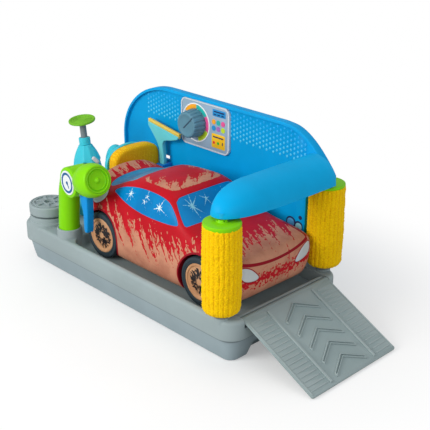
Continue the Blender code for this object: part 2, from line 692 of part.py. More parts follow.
# Base skirt
def make_skirt():
    bottom = SKIRT_BOTTOM_INSET
    levels = [(bottom + RIDGE_CHAMFER, 0), (bottom, RIDGE_CHAMFER), (SKIRT_TOP_INSET, RIDGE_HEIGHT - GAP)]
    skirt = add_object("base_skirt", stack([[(x, y, z) for x, y in base_outline(inset)] for inset, z in levels]),
                       GREY_PLASTIC)
    inset = SKIRT_BOTTOM_INSET + SKIRT_WALL
    inside = rounded_rectangle(LEFT_X + inset, FRONT_X - SKIRT_FRONT_BLOCK, -HALF_WIDTH + inset, HALF_WIDTH - inset,
                               CORNER_RADIUS - inset)
    cut(skirt, stack([[(x, y, z) for x, y in inside] for z in (SKIRT_WALL, RIDGE_HEIGHT + OVERRUN)]))
    reach = FOOT_NOTCH_HALF_WIDTH
    notch = [(-reach - FOOT_NOTCH_SLANT, -OVERRUN), (reach + FOOT_NOTCH_SLANT, -OVERRUN), (reach, FOOT_NOTCH_HEIGHT),
             (-reach, FOOT_NOTCH_HEIGHT)]
    cut(skirt, stack([[(x, y, z) for y, z in notch] for x in (FRONT_X - FOOT_NOTCH_DEPTH, FRONT_X + OVERRUN)]))
    for name, x, y, top in screw_places():
        head, bore = SCREW_HEAD_RADIUS + GAP, SCREW_SHANK_RADIUS + GAP
        cut(skirt, turn([(0, -OVERRUN), (head, -OVERRUN), (head, SCREW_RECESS), (bore, SCREW_RECESS),
                         (bore, SKIRT_WALL + OVERRUN), (0, SKIRT_WALL + OVERRUN)], 16, Matrix.Translation((x, y, 0))))
        add_screw("base_screw_" + name, Matrix.Translation((x, y, 0)))


# Ramp, drawn flat in the hinge's own frame: +X down the slope
def make_ramp():
    frame = add_empty("ramp_hinge_frame", (HINGE_X, 0, HINGE_HEIGHT), (0, RAMP_SLOPE, 0))
    half = RAMP_WIDTH / 2
    low, high = FLAP, BARREL_RADIUS
    section = [(0, low), (RAMP_LENGTH, low), (RAMP_LENGTH, high - RELIEF_HEIGHT),
               (RAMP_LENGTH - RELIEF_HEIGHT, high), (0, high)]
    ramp = add_object("ramp", upright(section, -half, half), RAMP_PLASTIC, frame)
    barrel = turn([(0, -half), (BARREL_RADIUS, -half), (BARREL_RADIUS, half), (0, half)], 24, along_y(0, 0, 0))
    fuse(ramp, barrel, frame)
    start = RAMP_MARGIN
    raised = high + RELIEF_HEIGHT
    for side in (-1, 1):
        y = side * RIDGE_STRIP_OFFSET
        reach = RIDGE_STRIP_WIDTH / 2
        fuse(ramp, box((start, y - reach, low + RELIEF_HEIGHT), (RAMP_LENGTH - start, y + reach, raised)), frame)
    room = RAMP_LENGTH - 2 * start - CHEVRON_START - CHEVRON_TIP_WIDTH
    for index in range(int(room / CHEVRON_PITCH) + 1):
        tip = start + CHEVRON_START + CHEVRON_PITCH * index
        arm = CHEVRON_HALF_SPAN
        outline = [(tip, 0), (tip + CHEVRON_RISE, arm), (tip + CHEVRON_RISE + CHEVRON_WIDTH, arm),
                   (tip + CHEVRON_TIP_WIDTH, 0), (tip + CHEVRON_RISE + CHEVRON_WIDTH, -arm),
                   (tip + CHEVRON_RISE, -arm)]
        outline = [(min(x, RAMP_LENGTH - start), y) for x, y in outline]
        if outline[1][0] == outline[2][0]:
            share = (RAMP_LENGTH - start - tip) / CHEVRON_RISE
            inner = (RAMP_LENGTH - start - tip - CHEVRON_TIP_WIDTH) / CHEVRON_RISE
            end = RAMP_LENGTH - start
            outline = [(tip, 0), (end, arm * share), (end, arm * inner), (tip + CHEVRON_TIP_WIDTH, 0),
                       (end, -arm * inner), (end, -arm * share)]
        fuse(ramp, stack([[(x, y, z) for x, y in outline] for z in (low + RELIEF_HEIGHT, raised)]), frame)
    for side, label in ((-1, "near"), (1, "far")):
        bore = Matrix.Rotation(-side * math.pi / 2, 4, "X")
        inner = half - PIN_INSERTION
        radius = PIN_RADIUS + RUNNING_GAP
        cut(ramp, turn([(0, inner - GAP), (radius, inner - GAP), (radius, half + OVERRUN), (0, half + OVERRUN)],
                       16, bore), frame)
        place = Matrix.Translation((HINGE_X, 0, HINGE_HEIGHT)) @ bore
        outer = LUG_FACE + PIN_INSERTION
        add_object("ramp_pin_" + label, turn([(0, inner), (PIN_RADIUS, inner), (PIN_RADIUS, outer), (0, outer)],
                                             16, place), STEEL)


# Rear wall
def wall_outline():
    """The wall's outline in X and Z, anticlockwise seen from the open side."""
    left, right = wall_left(), wall_post_x()
    bottom = RIM_HEIGHT + GAP
    ear_tip = FRONT_X - EAR_TIP_SETBACK
    top_end = FRONT_X - WALL_TOP_END_SETBACK
    radius = WALL_FALL_RADIUS
    drop = (WALL_HEIGHT - EAR_TIP_HEIGHT)
    fall = math.degrees(math.atan2(drop, ear_tip - top_end))
    points = [(left, bottom), (right, bottom), (right, EAR_BOTTOM_HEIGHT), (ear_tip, EAR_BOTTOM_HEIGHT),
              (ear_tip, EAR_TIP_HEIGHT)]
    points += arc((top_end, WALL_HEIGHT - radius), (radius, radius), 90 - fall, 90, 5)
    points += arc((left + WALL_CORNER_WIDTH, WALL_HEIGHT - WALL_CORNER_HEIGHT),
                  (WALL_CORNER_WIDTH, WALL_CORNER_HEIGHT), 90, 180, 14)
    return points


def make_wall():
    outline = wall_outline()
    wall = add_object("rear_wall", upright(outline, WALL_FRONT, WALL_BACK), BLUE_PLASTIC)
    inner = inset_outline(outline, WALL_LIP)
    ear_front = FRONT_X - EAR_FRONT_SETBACK
    field = clip_right(inner, ear_front)
    cut(wall, upright(field, WALL_FRONT - OVERRUN, WALL_PLATE_FRONT))
    cut(wall, upright(field, WALL_PLATE_BACK, WALL_BACK + OVERRUN))
    middle = (WALL_PLATE_FRONT + WALL_PLATE_BACK) / 2
    fuse(wall, box((wall_left() + TONGUE_END_INSET, middle - TONGUE_HALF_THICKNESS, RIM_HEIGHT - TONGUE_DEPTH),
                   (wall_post_x() - TONGUE_END_INSET, middle + TONGUE_HALF_THICKNESS, RIM_HEIGHT + WALL_LIP / 2)))
    window = [(FRONT_X - WINDOW_LEFT_SETBACK, WINDOW_LOW), (FRONT_X - WINDOW_RIGHT_SETBACK, WINDOW_LOW),
              (FRONT_X - WINDOW_RIGHT_SETBACK, WINDOW_HIGH), (FRONT_X - WINDOW_LEFT_SETBACK, WINDOW_HIGH)]
    cut(wall, upright(window, WALL_FRONT, WALL_BACK))
    shaft = KNOB_SHAFT_RADIUS + RUNNING_GAP
    dial = along_y(FRONT_X - DIAL_SETBACK, WALL_BACK, DIAL_HEIGHT)
    cut(wall, turn([(0, 0), (shaft, 0), (shaft, WALL_BACK - WALL_FRONT), (0, WALL_BACK - WALL_FRONT)], 20, dial))
    fuse(wall, rod(SOCKET_RADIUS, EAR_BOTTOM_HEIGHT, EAR_BOTTOM_HEIGHT + SOCKET_DEPTH + SOCKET_CROWN,
                   (ROLLER_X, ROLLER_OFFSET), 24))
    cut(wall, rod(SPINDLE_RADIUS + GAP, EAR_BOTTOM_HEIGHT - OVERRUN, EAR_BOTTOM_HEIGHT + SOCKET_DEPTH,
                  (ROLLER_X, ROLLER_OFFSET), 16))
    for x, z in peg_places():
        peg = PEG_RADIUS + GAP
        cut(wall, turn([(0, 0), (peg, 0), (peg, WALL_BACK - WALL_FRONT), (0, WALL_BACK - WALL_FRONT)], 16,
                       along_y(x, WALL_BACK, z)))
    for frame in arch_screw_frames():
        bore = SCREW_SHANK_RADIUS + GAP
        depth = WALL_BACK - WALL_FRONT + OVERRUN
        cut(wall, turn([(0, -OVERRUN), (bore, -OVERRUN), (bore, depth), (0, depth)], 16, frame))
    for frame in panel_screw_frames():
        bore = SCREW_SHANK_RADIUS + GAP
        reach = HALF_WIDTH - middle + TONGUE_HALF_THICKNESS + OVERRUN
        cut(wall, turn([(0, 0), (bore, 0), (bore, reach), (0, reach)], 16, frame))


def clip_right(points, limit):
    """The part of an outline left of a limit."""
    kept = []
    for index, here in enumerate(points):
        before = points[index - 1]
        if (before[0] < limit) != (here[0] < limit):
            share = (limit - before[0]) / (here[0] - before[0])
            kept.append((limit, before[1] + (here[1] - before[1]) * share))
        if here[0] < limit:
            kept.append(here)
    return kept


def arch_screw_frames():
    """Frames of the two screws that hold the arch, driven in through the wall's ear."""
    middle = FRONT_X - ARCH_SCREW_SETBACK
    return [along_y(middle + side * ARCH_SCREW_PITCH / 2, WALL_BACK + SCREW_HEAD_HEIGHT + GAP,
                    ARCH_LOW_HEIGHT + ARCH_SCREW_RISE) for side in (-1, 1)]


def peg_places():
    """Where the control plate's and the bracket's pegs pass through the wall."""
    centre = FRONT_X - PLATE_CENTRE_SETBACK
    x_reach = PLATE_WIDTH / 2 - PLATE_CORNER
    z_reach = PLATE_HEIGHT / 2 - PLATE_CORNER
    low, high = PLATE_CENTRE_HEIGHT - z_reach, PLATE_CENTRE_HEIGHT + z_reach
    bracket = SQUEEGEE_FOOT_HEIGHT + BRACKET_HEIGHT / 2
    return [(centre - x_reach, high), (centre + x_reach, high), (centre + x_reach, low), (centre - x_reach, low),
            (FRONT_X - SQUEEGEE_SETBACK, bracket)]


# Arch: a shell over the bay mouth, open below, tapering to a tip over the near roller
def arch_ring(taper, inset, foot, y):
    """One section of the arch. The taper shrinks it towards the tip's foot, the inset thins it."""
    outer = FRONT_X - ARCH_OUTER_SETBACK
    crest = FRONT_X - ARCH_CREST_SETBACK
    inner = outer - ARCH_WIDTH
    middle = FRONT_X - ARCH_TIP_CENTRE_SETBACK
    power = 2 / ARCH_SECTION_SHARE
    section = []
    for step in range(9):
        angle = math.radians(90 * step / 8)
        section.append((crest + (outer - inset - crest) * math.cos(angle) ** power,
                        (ARCH_CREST_RISE - inset) * math.sin(angle) ** power))
    for step in range(1, 5):
        angle = math.radians(90 * step / 4)
        section.append((crest - (crest - inner - inset) * math.sin(angle) ** power,
                        (ARCH_CREST_RISE - inset) * math.cos(angle) ** power))
    ring = [(middle + (x - middle) * taper, y, ARCH_LOW_HEIGHT + z * taper) for x, z in section]
    ring.append((ring[-1][0], y, ARCH_LOW_HEIGHT - foot))
    ring.append((ring[0][0], y, ARCH_LOW_HEIGHT - foot))
    return ring


def arch_stack(inset, root, foot):
    """The arch's solid, or its hollow when there is an inset."""
    rings = [arch_ring(1, inset, foot, root)]
    reach = ARCH_TIP_REACH - ARCH_TAPER_START - inset
    power = 2 / ARCH_TIP_SHARE
    for step in range(11):
        angle = math.radians(86 * step / 10)
        rings.append(arch_ring(math.cos(angle) ** power, inset, foot, -ARCH_TAPER_START - reach * math.sin(angle) ** power))
    return stack(rings)


def make_arch():
    foot = GAP / 2
    arch = add_object("arch", arch_stack(0, WALL_FRONT - GAP, foot), ARCH_BLUE)
    cut(arch, arch_stack(ARCH_WALL, WALL_FRONT - ARCH_ROOT_WALL, OVERRUN))
    fuse(arch, rod(SOCKET_RADIUS, ARCH_LOW_HEIGHT, ARCH_LOW_HEIGHT + SOCKET_RISE, (ROLLER_X, -ROLLER_OFFSET), 24))
    cut(arch, rod(SPINDLE_RADIUS + GAP, ARCH_LOW_HEIGHT - OVERRUN, NEAR_SPINDLE_TOP + GAP,
                  (ROLLER_X, -ROLLER_OFFSET), 16))
    for frame, label in zip(arch_screw_frames(), ("rear", "front")):
        bore = SCREW_SHANK_RADIUS + GAP
        depth = SCREW_HEAD_HEIGHT + ARCH_SCREW_SHANK + GAP
        cut(arch, turn([(0, 0), (bore, 0), (bore, depth), (0, depth)], 16, frame))
        add_screw("arch_screw_" + label, frame, ARCH_SCREW_SHANK)


# Rollers
def make_roller(label, side, spindle_top):
    x, y = ROLLER_X, side * ROLLER_OFFSET
    place = Matrix.Translation((x, y, 0))
    centre = (x, y, (ROLLER_BOTTOM + ROLLER_TOP) / 2)
    bore = SPINDLE_RADIUS + RUNNING_GAP
    core = SLEEVE_RADIUS - SLEEVE_THICKNESS
    low, high = ROLLER_BOTTOM, ROLLER_TOP
    add_object("roller_core_" + label, turn([(bore, low), (core, low), (core, high), (bore, high)], 24, place),
               LIME_PLASTIC, None, centre)
    inner = core + GAP
    edge = SLEEVE_ROUNDING
    soft = edge * (1 - math.sqrt(0.5))
    sleeve = [(inner, low), (SLEEVE_RADIUS - edge, low), (SLEEVE_RADIUS - soft, low + soft),
              (SLEEVE_RADIUS, low + edge), (SLEEVE_RADIUS, high - edge), (SLEEVE_RADIUS - soft, high - soft),
              (SLEEVE_RADIUS - edge, high), (inner, high)]
    add_object("roller_sleeve_" + label, turn(sleeve, 28, place), YELLOW_CLOTH, None, centre)
    bottom, top = high + GAP, high + GAP + CAP_THICKNESS
    cap = [(bore, bottom), (CAP_RADIUS, bottom), (CAP_RADIUS, top - CAP_ROUNDING), (CAP_RADIUS - CAP_ROUNDING, top),
           (CAP_BOSS_RADIUS, top), (CAP_BOSS_RADIUS, top + CAP_BOSS_RISE), (bore, top + CAP_BOSS_RISE)]
    add_object("roller_cap_" + label, turn(cap, 28, place), LIME_PLASTIC, None, centre)
    foot = RIM_HEIGHT - SPINDLE_SEAT_DEPTH
    flange_top = low - GAP
    flange_low = flange_top - SPINDLE_FLANGE_THICKNESS
    spindle = [(0, foot), (SPINDLE_RADIUS, foot), (SPINDLE_RADIUS, flange_low), (SPINDLE_FLANGE_RADIUS, flange_low),
               (SPINDLE_FLANGE_RADIUS, flange_top), (SPINDLE_RADIUS, flange_top), (SPINDLE_RADIUS, spindle_top),
               (0, spindle_top)]
    add_object("roller_spindle_" + label, turn(spindle, 20, place), STEEL)


# Control plate, dial and the retainer behind the wall
def make_controls():
    x = FRONT_X - PLATE_CENTRE_SETBACK
    front, back = WALL_PLATE_FRONT - GAP - PLATE_THICKNESS, WALL_PLATE_FRONT - GAP
    corners = rounded_rectangle(x - PLATE_WIDTH / 2, x + PLATE_WIDTH / 2, PLATE_CENTRE_HEIGHT - PLATE_HEIGHT / 2,
                                PLATE_CENTRE_HEIGHT + PLATE_HEIGHT / 2, PLATE_CORNER, 6)
    plate = add_object("control_plate", upright(corners, front, back), PLATE_GREY)
    for peg_x, peg_z in peg_places()[:4]:
        fuse(plate, turn([(0, 0), (PEG_RADIUS, 0), (PEG_RADIUS, PEG_LENGTH + PLATE_THICKNESS / 2),
                          (0, PEG_LENGTH + PLATE_THICKNESS / 2)], 16, along_y(peg_x, back + PEG_LENGTH, peg_z)))
    dial_x = FRONT_X - DIAL_SETBACK
    shaft_bore = KNOB_SHAFT_RADIUS + RUNNING_GAP
    cut(plate, turn([(0, 0), (shaft_bore, 0), (shaft_bore, WALL_BACK - WALL_FRONT), (0, WALL_BACK - WALL_FRONT)], 20,
                    along_y(dial_x, WALL_BACK, DIAL_HEIGHT)))
    seat = front - RUNNING_GAP
    knob_frame = along_y(dial_x, seat, DIAL_HEIGHT)
    rings = []
    steps = KNOB_FLUTES * 3
    edge = KNOB_FLUTE_DEPTH * 2
    for radius, height, flute in ((KNOB_RADIUS - KNOB_FLUTE_DEPTH, 0, 0), (KNOB_RADIUS, KNOB_FLUTE_DEPTH, 1),
                                  (KNOB_FACE_RADIUS + edge / 2, KNOB_LENGTH - edge, 1),
                                  (KNOB_FACE_RADIUS - edge / 2, KNOB_LENGTH, 0.5)):
        ring = []
        for step in range(steps):
            angle = 2 * math.pi * step / steps
            reach = radius - flute * KNOB_FLUTE_DEPTH * (1 if step % 3 == 0 else 0)
            ring.append(knob_frame @ Vector((reach * math.cos(angle), reach * math.sin(angle), height)))
        rings.append(ring)
    origin = (dial_x, seat, DIAL_HEIGHT)
    knob = add_object("dial_knob", stack(rings), KNOB_GREY, None, origin)
    shaft = WALL_PLATE_BACK + GAP + RETAINER_THICKNESS - seat
    fuse(knob, turn([(0, -shaft), (KNOB_SHAFT_RADIUS, -shaft), (KNOB_SHAFT_RADIUS, KNOB_FLUTE_DEPTH),
                     (0, KNOB_FLUTE_DEPTH)], 20, knob_frame))
    groove = box((-KNOB_POINTER_WIDTH / 2, 0, KNOB_LENGTH - KNOB_POINTER_DEPTH),
                 (KNOB_POINTER_WIDTH / 2, KNOB_RADIUS, KNOB_LENGTH + OVERRUN))
    bmesh.ops.transform(groove, matrix=knob_frame @ Matrix.Rotation(KNOB_POINTER_ANGLE, 4, "Z"), verts=groove.verts)
    cut(knob, groove)
    bore = KNOB_SHAFT_RADIUS + GAP
    low = WALL_PLATE_BACK + GAP
    ring = [(bore, 0), (RETAINER_RADIUS, 0), (RETAINER_RADIUS, RETAINER_THICKNESS), (bore, RETAINER_THICKNESS)]
    add_object("knob_retainer", turn(ring, 24, along_y(dial_x, low + RETAINER_THICKNESS, DIAL_HEIGHT)), PLATE_GREY,
               None, origin)


# Squeegee in its bracket on the wall
def make_squeegee():
    x = FRONT_X - SQUEEGEE_SETBACK
    y = SQUEEGEE_DEPTH_CENTRE
    half_thick = SQUEEGEE_THICKNESS / 2
    top = SQUEEGEE_FOOT_HEIGHT + SQUEEGEE_HEIGHT
    reach = SQUEEGEE_WIDTH / 2
    line = Matrix.Translation((x + SQUEEGEE_SHIFT, y, top)) @ Matrix.Rotation(SQUEEGEE_TILT, 4, "Y")
    ends = [line @ Vector((side * reach, 0, 0)) for side in (1, -1)]
    right, left = [[(x + across * reach, SQUEEGEE_FOOT_HEIGHT + rise * SQUEEGEE_HEIGHT) for across, rise in shares]
                   for shares in (FAN_RIGHT_SHARES, FAN_LEFT_SHARES)]
    outline = right + [(end.x, end.z) for end in ends] + left
    handle = add_object("squeegee_handle", upright(outline, y - half_thick, y + half_thick), TEAL_PLASTIC)
    thick = BLADE_THICKNESS / 2
    slot = box((-reach - OVERRUN, -thick - GAP, -BLADE_HEIGHT / 2 - GAP), (reach + OVERRUN, thick + GAP, OVERRUN))
    bmesh.ops.transform(slot, matrix=line, verts=slot.verts)
    cut(handle, slot)
    blade = box((-reach, -thick, -BLADE_HEIGHT / 2), (reach, thick, BLADE_HEIGHT / 2))
    bmesh.ops.transform(blade, matrix=line, verts=blade.verts)
    add_object("squeegee_blade", blade, YELLOW_RUBBER)
    make_bracket(x, y, half_thick)


def make_bracket(x, y, half_thick):
    low = SQUEEGEE_FOOT_HEIGHT - GAP - BRACKET_FLOOR
    back = WALL_PLATE_FRONT - GAP
    bracket = add_object("squeegee_bracket", box((x - BRACKET_WIDTH / 2, BRACKET_FRONT, low),
                                                 (x + BRACKET_WIDTH / 2, back, low + BRACKET_HEIGHT)), DARK_BLUE)
    bevel = bracket.modifiers.new("rounded_edges", "BEVEL")
    bevel.width = BRACKET_CLEARANCE * 2
    bevel.segments = 2
    wide = HANDLE_WIDTH / 2 + BRACKET_CLEARANCE
    deep = half_thick + BRACKET_CLEARANCE
    cut(bracket, box((x - wide, y - deep, SQUEEGEE_FOOT_HEIGHT - GAP),
                     (x + wide, y + deep, low + BRACKET_HEIGHT + OVERRUN)))
    peg_x, peg_z = peg_places()[-1]
    length = PEG_LENGTH + BRACKET_FLOOR
    fuse(bracket, turn([(0, 0), (PEG_RADIUS, 0), (PEG_RADIUS, length), (0, length)], 16,
                       along_y(peg_x, back + PEG_LENGTH, peg_z)))


# Brush: a mesh pad on a backing with an upright grip
def brush_outline(margin, foot):
    """The dome outline of the pad in Y and Z."""
    half = BRUSH_HALF_WIDTH - margin
    top = BRUSH_TOP - margin
    shoulder = BRUSH_TOP - BRUSH_CROWN
    points = [(BRUSH_CENTRE - half, foot), (BRUSH_CENTRE + half, foot)]
    points += arc((BRUSH_CENTRE, shoulder), (half, top - shoulder), 0, 180, 16)
    return points


def make_brush():
    front = FRONT_X - PAD_FRONT_SETBACK
    back = front - PAD_THICKNESS
    foot = RIM_HEIGHT - BRUSH_SEAT_DEPTH
    rounding = PAD_ROUNDING
    soft = rounding * (1 - math.sqrt(1 / 2))
    levels = ((rounding, front), (soft, front - soft), (0, front - rounding),
              (0, back + rounding), (soft, back + soft), (rounding, back))
    rings = [[(x, y, z) for y, z in brush_outline(margin, foot + margin)] for margin, x in levels]
    add_object("brush_pad", stack(rings), MESH_YELLOW)
    plate_front = back - GAP
    plate_back = plate_front - BACKING_THICKNESS
    plate = brush_outline(BACKING_MARGIN, foot)
    body = add_object("brush_body", stack([[(x, y, z) for y, z in plate] for x in (plate_back, plate_front)]),
                      TEAL_PLASTIC)
    x, y = plate_back - GRIP_SHIFT, GRIP_OFFSET
    rings = []
    for rise, share in GRIP_SHARES:
        z = GRIP_LOW + (GRIP_TOP - GRIP_LOW) * rise
        rings.append([(x + a, y + b, z) for a, b in
                      superellipse((GRIP_DEPTH_RADIUS * share, GRIP_WIDTH_RADIUS * share), 2.2, 28)])
    fuse(body, stack(rings))


# Pump bottle, drawn upright in its own leaning frame
def bottle_ring(rise, margin=0):
    """The body's section at a share of its height."""
    for (low, low_share), (high, high_share) in zip(BOTTLE_SHARES, BOTTLE_SHARES[1:]):
        if low <= rise <= high:
            share = low_share + (high_share - low_share) * (rise - low) / (high - low)
            return superellipse((BOTTLE_RADIUS * share + margin, BOTTLE_DEPTH_RADIUS * share + margin), 2.3, 28)
    return []


def make_bottle():
    rings = [[(x, y, BOTTLE_HEIGHT * rise) for x, y in bottle_ring(rise)] for rise, share in BOTTLE_SHARES]
    body = add_object("bottle_body", stack(rings), TEAL_PLASTIC, bottle_frame)
    neck_top = BOTTLE_HEIGHT + NECK_HEIGHT
    fuse(body, rod(NECK_RADIUS, BOTTLE_HEIGHT - NECK_HEIGHT, neck_top, steps=28), bottle_frame)
    loop = rounded_rectangle(LOOP_OFFSET - LOOP_WIDTH / 2, LOOP_OFFSET + LOOP_WIDTH / 2, LOOP_LOW, LOOP_HIGH,
                             LOOP_WIDTH / 2 - GAP, 5)
    cut(body, upright(loop, -BOTTLE_RADIUS, BOTTLE_RADIUS), bottle_frame)
    bore = STEM_RADIUS + RUNNING_GAP
    collar_top = BOTTLE_HEIGHT + GAP + COLLAR_HEIGHT
    stem_low = collar_top - STEM_INSERTION
    cut(body, rod(bore, stem_low - PLUNGER_TRAVEL - GAP, neck_top + OVERRUN, steps=24), bottle_frame)
    inner = NECK_RADIUS + GAP
    step = neck_top + GAP
    low, edge = BOTTLE_HEIGHT + GAP, (COLLAR_RADIUS - NECK_RADIUS) / 2
    add_object("bottle_collar", turn([(inner, low), (COLLAR_RADIUS, low), (COLLAR_RADIUS, collar_top - edge),
                                      (COLLAR_RADIUS - edge, collar_top), (bore, collar_top), (bore, step),
                                      (inner, step)], 28), TEAL_PLASTIC, bottle_frame)
    pad_low = collar_top + PUSH_PAD_RISE
    pad_top = pad_low + PUSH_PAD_THICKNESS
    seat = (pad_low + pad_top) / 2
    add_object("plunger_stem", rod(STEM_RADIUS, stem_low, seat - GAP, steps=24), STEM_GREY, bottle_frame)
    edge = PUSH_PAD_EDGE
    pad = [(0, seat), (STEM_RADIUS + GAP, seat), (STEM_RADIUS + GAP, pad_low), (PUSH_PAD_RADIUS - edge, pad_low),
           (PUSH_PAD_RADIUS, pad_low + edge), (PUSH_PAD_RADIUS, pad_top - edge), (PUSH_PAD_RADIUS - edge, pad_top),
           (0, pad_top - edge / 2)]
    add_object("push_pad", turn(pad, 28), LIME_PLASTIC, bottle_frame)


# Water gun, drawn in its own frame: X forwards, Z up from the bottom of its handle
def gun_solid():
    """The whole gun before it is split: handle, drum and barrel."""
    handle = [[(GUN_HANDLE_RADIUS * share * x + lean * DRUM_FORWARD, GUN_HANDLE_RADIUS * share * y,
                DRUM_RISE * rise) for x, y in superellipse((1, 1), 2, 28)] for rise, share, lean in HANDLE_SHARES]
    return stack(handle)


def make_gun():
    barrel_frame = (Matrix.Translation((DRUM_FORWARD, 0, DRUM_RISE)) @
                    Matrix.Rotation(math.pi / 2 - BARREL_LIFT, 4, "Y"))
    drum_frame = Matrix.Translation((DRUM_FORWARD, -DRUM_HALF_LENGTH, DRUM_RISE)) @ Matrix.Rotation(
        -math.pi / 2, 4, "X")
    pivot = gun_pivot()
    for label, side in (("near", -1), ("far", 1)):
        half = add_object("gun_half_" + label, gun_solid(), LIME_PLASTIC, gun_frame)
        edge = DRUM_EDGE
        ends = 2 * DRUM_HALF_LENGTH
        fuse(half, turn([(0, 0), (DRUM_RADIUS - edge, 0), (DRUM_RADIUS, edge), (DRUM_RADIUS, ends - edge),
                         (DRUM_RADIUS - edge, ends), (0, ends)], 36, drum_frame), gun_frame)
        barrel = [(0, BARREL_REACH * BARREL_SHARES[0][0])] + [(BARREL_BELLY * share, BARREL_REACH * rise)
                                               for rise, share in BARREL_SHARES] + [(0, BARREL_REACH)]
        fuse(half, turn(barrel, 36, barrel_frame), gun_frame)
        recess = NOSE_RADIUS + GAP
        cut(half, turn([(0, BARREL_REACH - NOSE_RECESS), (recess, BARREL_REACH - NOSE_RECESS),
                        (recess, BARREL_REACH + OVERRUN), (0, BARREL_REACH + OVERRUN)], 36, barrel_frame), gun_frame)
        if side < 0:
            seat = GAUGE_RADIUS + GAP
            cut(half, turn([(0, -OVERRUN), (seat, -OVERRUN), (seat, GAUGE_RECESS), (0, GAUGE_RECESS)], 36,
                           drum_frame), gun_frame)
        reach = TRIGGER_THICKNESS / 2 + TRIGGER_SLOT_GAP
        rear = math.hypot(TRIGGER_HEAD_REAR, TRIGGER_HEAD_RISE)
        front = math.hypot(TRIGGER_HEAD_FRONT, TRIGGER_HEAD_RISE)
        lifted = rear * math.sin(math.atan2(TRIGGER_HEAD_RISE, TRIGGER_HEAD_REAR) + TRIGGER_SWING)
        cut(half, box((pivot.x - rear - TRIGGER_SLOT_GAP, -reach, pivot.z - TRIGGER_LENGTH / 2),
                      (pivot.x + front + TRIGGER_SLOT_GAP, reach, pivot.z + lifted + TRIGGER_SLOT_GAP)), gun_frame)
        bore = TRIGGER_PIN_RADIUS + GAP
        reach = TRIGGER_PIN_LENGTH / 2 + GAP
        cut(half, turn([(0, -reach), (bore, -reach), (bore, reach), (0, reach)], 16,
                       along_y(pivot.x, pivot.y, pivot.z)), gun_frame)
        far = DRUM_FORWARD + BARREL_REACH * 2
        keep = [(-far, -far if side > 0 else -GAP / 2, -far), (far, GAP / 2 if side > 0 else far, DRUM_RISE + far)]
        cut(half, box(keep[0], keep[1]), gun_frame)
    make_gun_trim(barrel_frame, drum_frame, pivot)


def gun_pivot():
    """The trigger's hinge line in the gun's frame."""
    return Vector((TRIGGER_FORWARD, 0, DRUM_RISE - TRIGGER_PIVOT_DROP))


def make_gun_trim(barrel_frame, drum_frame, pivot):
    low = BARREL_REACH - NOSE_RECESS + GAP
    face = low + NOSE_THICKNESS
    ring, step = NOSE_RING_RADIUS, NOSE_STEP
    nose = [(0, low), (NOSE_RADIUS, low), (NOSE_RADIUS, face), (ring, face), (ring - step, face - step),
            (NOSE_BUMP_RADIUS + step, face - step), (NOSE_BUMP_RADIUS, face + step), (0, face + step * 2)]
    add_object("gun_nose", turn(nose, 28, barrel_frame), LIME_PLASTIC, gun_frame)
    top = GAUGE_RECESS - GAP
    gauge = [(0, top - GAUGE_THICKNESS), (GAUGE_RADIUS, top - GAUGE_THICKNESS), (GAUGE_RADIUS, top), (0, top)]
    add_object("gauge_disc", turn(gauge, 36, drum_frame), WHITE_PLASTIC, gun_frame)
    half = TRIGGER_THICKNESS / 2
    outline = [(-TRIGGER_HEAD_REAR, TRIGGER_HEAD_RISE), (-TRIGGER_HEAD_REAR, -TRIGGER_HEAD_RISE)]
    outline += [(across * TRIGGER_HEAD_FRONT, -drop * TRIGGER_LENGTH) for across, drop in TRIGGER_SHARES]
    outline += [(TRIGGER_HEAD_FRONT, TRIGGER_HEAD_RISE)]
    trigger = add_object("trigger", stack([[(pivot.x + x, y, pivot.z + z) for x, z in outline] for y in (-half, half)]),
                         TRIGGER_BLUE, gun_frame, pivot)
    bore = TRIGGER_PIN_RADIUS + RUNNING_GAP
    frame = along_y(pivot.x, pivot.y, pivot.z)
    cut(trigger, turn([(0, -half - OVERRUN), (bore, -half - OVERRUN), (bore, half + OVERRUN), (0, half + OVERRUN)],
                      16, frame), gun_frame)
    reach = TRIGGER_PIN_LENGTH / 2
    pin = [(0, -reach), (TRIGGER_PIN_RADIUS, -reach), (TRIGGER_PIN_RADIUS, reach), (0, reach)]
    add_object("trigger_pin", turn(pin, 16, frame), STEEL, gun_frame)


